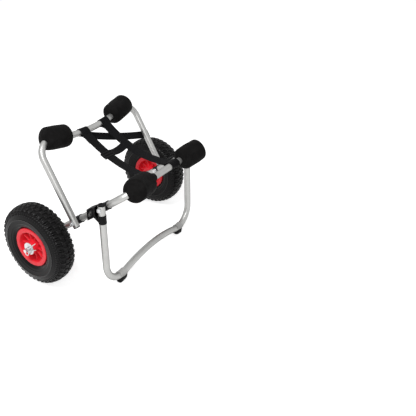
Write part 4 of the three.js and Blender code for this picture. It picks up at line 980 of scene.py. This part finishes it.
for side, sign in sides:
    padPiece(f"front_{side}", sign, frontArch, frontPath, onFront, "front_frame", f"front_pad_{side}")
    padPiece(f"rear_{side}", sign, rearArch, rearPath, onRear, "rear_frame", f"rear_pad_{side}")
print("foam pads made")

strap = {"width": 38.0, "thick": 1.9, "hem": 52.0, "meet": 24.0, "turnRadius": 12.4, "blendFrom": 22.0}
strapRuns = {"left": {"rear": -41.2, "front": -65.0, "sag": 22.0}, "right": {"rear": 63.86, "front": 60.0, "sag": 32.0}}


def barAt(arch, place, x):
    x = np.asarray(x, float)
    return place(np.stack([x, np.zeros_like(x), barHeight(arch, x)], -1))


# The run between the bars: its line, sunk by 4 * sag * share * (1 - share), moved with the curved bars across its width
class Run:
    def __init__(self, rear, front, sag):
        self.rearX, self.frontX, self.sag = rear, front, sag
        self.rear, self.front = barAt(rearArch, onRear, rear)[1:], barAt(frontArch, onFront, front)[1:]
        self.span = float(np.linalg.norm(self.front - self.rear))
        self.along = (self.front - self.rear) / self.span
        self.up = np.array([-self.along[1], self.along[0]])
        self.up *= np.sign(self.up[1])

    def place(self, along, above, x):
        start = strap["turnRadius"]
        share = np.clip((along - start) / (self.span - 2 * start), 0, 1)
        atRear = barAt(rearArch, onRear, self.rearX + x) - barAt(rearArch, onRear, self.rearX)
        atFront = barAt(frontArch, onFront, self.frontX + x) - barAt(frontArch, onFront, self.frontX)
        moved = (1 - share)[..., None] * atRear + share[..., None] * atFront
        flat = self.rear + along[..., None] * self.along + above[..., None] * self.up + moved[..., 1:]
        sunk = 4 * self.sag * share * (1 - share)
        return np.stack([self.rearX + x + share * (self.frontX - self.rearX), flat[..., 0], flat[..., 1] - sunk], -1)

    def distance(self, share):
        return strap["turnRadius"] + share * (self.span - 2 * strap["turnRadius"])


runs = {side: Run(**strapRuns[side]) for side, sign in sides}


# Hem below, round the rear bar, along the top, round the front bar, hem below
def strapLine(span):
    s = strap
    layer = s["thick"] / 2 + 0.1
    rear = s["turnRadius"] * onCircle(np.radians(np.linspace(-62, -298, 22)))
    front = np.stack([span - rear[::-1, 0], rear[::-1, 1]], -1)

    def level(start, end, count, height):
        return np.stack([np.linspace(start, end, count), np.full(count, height)], -1)

    lines = [level(s["hem"], s["meet"], 8, -layer), rear, level(s["meet"], span - s["meet"], 40, layer), front,
             level(span - s["meet"], span - s["hem"], 8, -layer)]
    return evenly(softened(np.concatenate(lines), 6, 3), 220)


# A flat band's closed section: two faces across its width and two rounded edges, each side in three parts
def webSection(width, parts=3):
    section = rectangle(width, strap["thick"], strap["thick"] * 0.45, 3)
    share = np.arange(parts)[None, :, None] / parts
    return (section[:, None] * (1 - share) + np.roll(section, -1, 0)[:, None] * share).reshape(-1, 2)


def cutLength(name, line):
    length = float(lengthsAlong(line)[-1])
    print(name, "cut length", round(length))
    return length


def strapPiece(name, run, node):
    line = strapLine(run.span)
    section = webSection(strap["width"])
    flat = line[:, None] + squareTo(tangentsOf(line))[:, None] * section[None, :, 1:]
    points = run.place(flat[..., 0], flat[..., 1], np.broadcast_to(section[None, :, 0], flat.shape[:2]))
    piece = makePiece(name, [shell(points)], "webbing", None, node, 60)
    length = cutLength(name, line)
    return piece


def crossing(piece):
    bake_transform(piece)


for side, sign in sides:
    crossing(strapPiece(f"webbing_strap_{side}", runs[side], f"{side}_strap"))

buckle = {"width": 47.6, "length": 26.0, "rail": 4.0, "thick": 7.0, "bar": 4.6, "barThick": 2.2, "share": 0.375}


# Two rails and three bars each side of the webbing, in the strap's own frame
def bucklePiece():
    b, run = buckle, runs["left"]
    rail, bar = rectangle(b["rail"], b["length"], 1.6), rectangle(b["width"] - 2, b["bar"], 1.6)
    parts = [prism(rail, b["thick"], 1.4) + [sign * (b["width"] - b["rail"]) / 2, 0, 0] for sign in (-1, 1)]
    for along, above in ((-1, 1), (0, 1), (1, 1), (-1, -1), (1, -1)):
        move = [0, along * (b["length"] - b["bar"]) / 2, above * (b["thick"] - b["barThick"]) / 2]
        parts.append(prism(bar, b["barThick"], 0.9) + move)
    placed = [shell(run.place(run.distance(b["share"]) + part[..., 1], part[..., 2], part[..., 0])) for part in parts]
    return makePiece("slide_buckle", placed, "black_plastic", None, "strap_buckle")


crossing(bucklePiece())

tail = {"width": 30.0, "sag": 5.0, "to": 0.34, "fromEdge": 21.0, "toEdge": 17.0}


# From under the buckle to the right strap: across is square to the run and to the way between the two
def tailPiece():
    t = tail
    places = []
    for run, share in ((runs["left"], buckle["share"]), (runs["right"], t["to"])):
        places.append(run.place(run.distance(share) + np.array([-4, 4]), np.zeros(2), np.zeros(2)))
    start, end = places[0].mean(0), places[1].mean(0)
    direction = unit(end - start)
    start, end = start + direction * t["fromEdge"], end - direction * t["toEdge"]
    ahead = unit(places[0][1] - places[0][0])
    across = unit(ahead - (ahead @ direction) * direction)
    share = np.linspace(0, 1, 40)[:, None]
    path = start + (end - start) * share - [0, 0, 1] * (4 * t["sag"] * share * (1 - share))
    points = carried(path, webSection(t["width"]), across)
    piece = makePiece("webbing_tail", [shell(points)], "webbing", None, "strap_tail", 60)
    length = cutLength("webbing_tail", path)
    return piece


crossing(tailPiece())

band = {"width": 28.0, "drop": 15.0, "legAt": 138.0, "sag": 6.0, "from": -21.9,
        "rivet": 4.5, "rivetHeight": 1.7, "rivetRow": 100}


# Behind the rear arch, down to the right leg and half round its outer side
def bandLoopPiece():
    b = band
    radius = tubing["radius"] + tubing["gap"] + strap["thick"] / 2 + 0.1
    legX, fromX = rearArch["half"], b["from"]
    fromZ = float(barHeight(rearArch, np.array(fromX))) - b["drop"]
    loop = [legX, 0] + radius * onCircle(np.radians(np.linspace(90, -25, 16)))
    run = np.stack([np.linspace(fromX, legX - 10, 30), np.full(30, radius)], -1)
    line = evenly(softened(np.concatenate([run, loop]), 6, 3), 120)
    share = (line[:, 0] - fromX) / (legX - fromX)
    z = fromZ + share * (b["legAt"] - fromZ) - 4 * b["sag"] * share * (1 - np.minimum(share, 1))
    path = np.stack([line[:, 0], line[:, 1], z], -1)
    tangent = np.gradient(line, axis=0)
    tangent = unit(np.stack([*tangent.T, np.zeros(len(line))], -1))
    points = onRear(carried(path, webSection(b["width"]), (0, 0, 1), tangent))
    piece = makePiece("webbing_cross_band", [shell(points)], "webbing", "rear_frame", "cross_band", 60)
    length = cutLength("webbing_cross_band", path)
    size, high, out = b["rivet"], b["rivetHeight"], radius + strap["thick"] / 2 - 0.1
    line = [[0, 0.2], [0, size], [0.9, size * 0.85], [high, size * 0.3], [high, 0.2]]
    heads = []
    for x, z in ((fromX + 9, fromZ + 8), (legX - 1, path[b["rivetRow"], 2])):
        heads.append(lathed(line, 0.5, 4, 28, place=lambda points: onRear(axesTo(points, "yxz") + [x, out, z])))
    makePiece("cross_band_rivets", heads, "steel", "rear_frame")


bandLoopPiece()
print("straps made")

camera = {"fromAxle": (-1226.156, -1035.628, 987.933), "yaw": 55.573, "pitch": -26.489, "roll": 2.184, "focal": 524.599,
          "centre": (150.0, 155.0), "frame": 416.0, "sensor": 36.0}
studio = {"floor": (0.8, 0.8, 0.8, 1), "floorGlow": 0.72, "floorHalf": 9.0, "world": 0.34, "aimAt": (0, 0, 0.15),
          "key": 58.0, "keyAt": (-1.6, -0.3, 2.9), "keySize": 0.8,
          "fill": 20.0, "fillAt": (-2.2, -1.3, 1.9), "fillSize": 0.9}


# A camera or lamp that looks forward from its place, turned about that line by the roll
def aimed(name, data, place, forward, roll=0.0):
    right = unit(np.cross(forward, [0, 0, 1]))
    up = np.cross(right, forward)
    cos, sin = math.cos(math.radians(roll)), math.sin(math.radians(roll))
    matrix = np.eye(4)
    matrix[:3] = np.stack([right * cos + up * sin, up * cos - right * sin, -forward, place], -1)
    made = linked(name, data)
    made.matrix_world = Matrix(matrix.tolist())
    return made


def makeCamera():
    c, data = camera, bpy.data.cameras.new("photoCamera")
    yaw, pitch = math.radians(c["yaw"]), math.radians(c["pitch"])
    forward = np.array([math.sin(yaw) * math.cos(pitch), math.cos(yaw) * math.cos(pitch), math.sin(pitch)])
    data.sensor_width, data.lens = c["sensor"], c["sensor"] * c["focal"] / c["frame"]
    data.shift_x, data.shift_y = 0.5 - c["centre"][0] / c["frame"], c["centre"][1] / c["frame"] - 0.5
    place = (np.array(c["fromAxle"]) + frontOrigin) * mm
    bpy.context.scene.camera = aimed("photoCamera", data, place, forward, c["roll"])


# 1 for what the camera sees directly, in a reflection or through something clear
def addSeenDirectly(tree):
    path = addNode(tree, "LightPath").outputs
    first = addMath(tree, "ADD", path["Is Camera Ray"], path["Is Glossy Ray"])
    return addMath(tree, "ADD", first, path["Is Transmission Ray"], clamp=True)


def makeFloor():
    mesh, half = bpy.data.meshes.new("floor"), studio["floorHalf"]
    mesh.from_pydata([(-half, -half, 0), (half, -half, 0), (half, half, 0), (-half, half, 0)], [], [(0, 1, 2, 3)])
    constants = {"Specular_IOR_Level": 0.0, "Base_Color": studio["floor"], "Roughness": 0.9}
    material, tree, shader = newMaterial("paleFloor", **constants)[:3]
    strength = scaled(tree, addSeenDirectly(tree), studio["floorGlow"])
    glow = addNode(tree, "Emission", {"Color": (1, 1, 1, 1), "Strength": strength})
    both = addNode(tree, "AddShader", {0: shader.outputs[0], 1: glow.outputs[0]})
    tree.links.new(both.outputs[0], tree.nodes["Material Output"].inputs["Surface"])
    mesh.materials.append(material)
    floor = linked("floor", mesh)


def makeWorld():
    world = bpy.data.worlds.new("studio")
    bpy.context.scene.world = world
    world.use_nodes = True
    tree = world.node_tree
    background = tree.nodes["Background"]
    strength = addNode(tree, "Mix", {"Factor": addSeenDirectly(tree), 2: studio["world"], 3: 1.0})
    background.inputs["Color"].default_value = (1, 1, 1, 1)
    tree.links.new(strength.outputs[0], background.inputs["Strength"])


def makeLamp(title):
    data = bpy.data.lights.new(f"{title}Lamp", "AREA")
    data.energy, data.size = studio[title], studio[f"{title}Size"]
    place = np.array(studio[f"{title}At"])
    aimed(f"{title}Lamp", data, place, unit(np.array(studio["aimAt"]) - place))


makeCamera()
makeFloor()
makeWorld()
makeLamp("key")
makeLamp("fill")
bpy.context.scene.view_settings.view_transform = "Standard"
print("studio made")

bpy.context.view_layer.update()
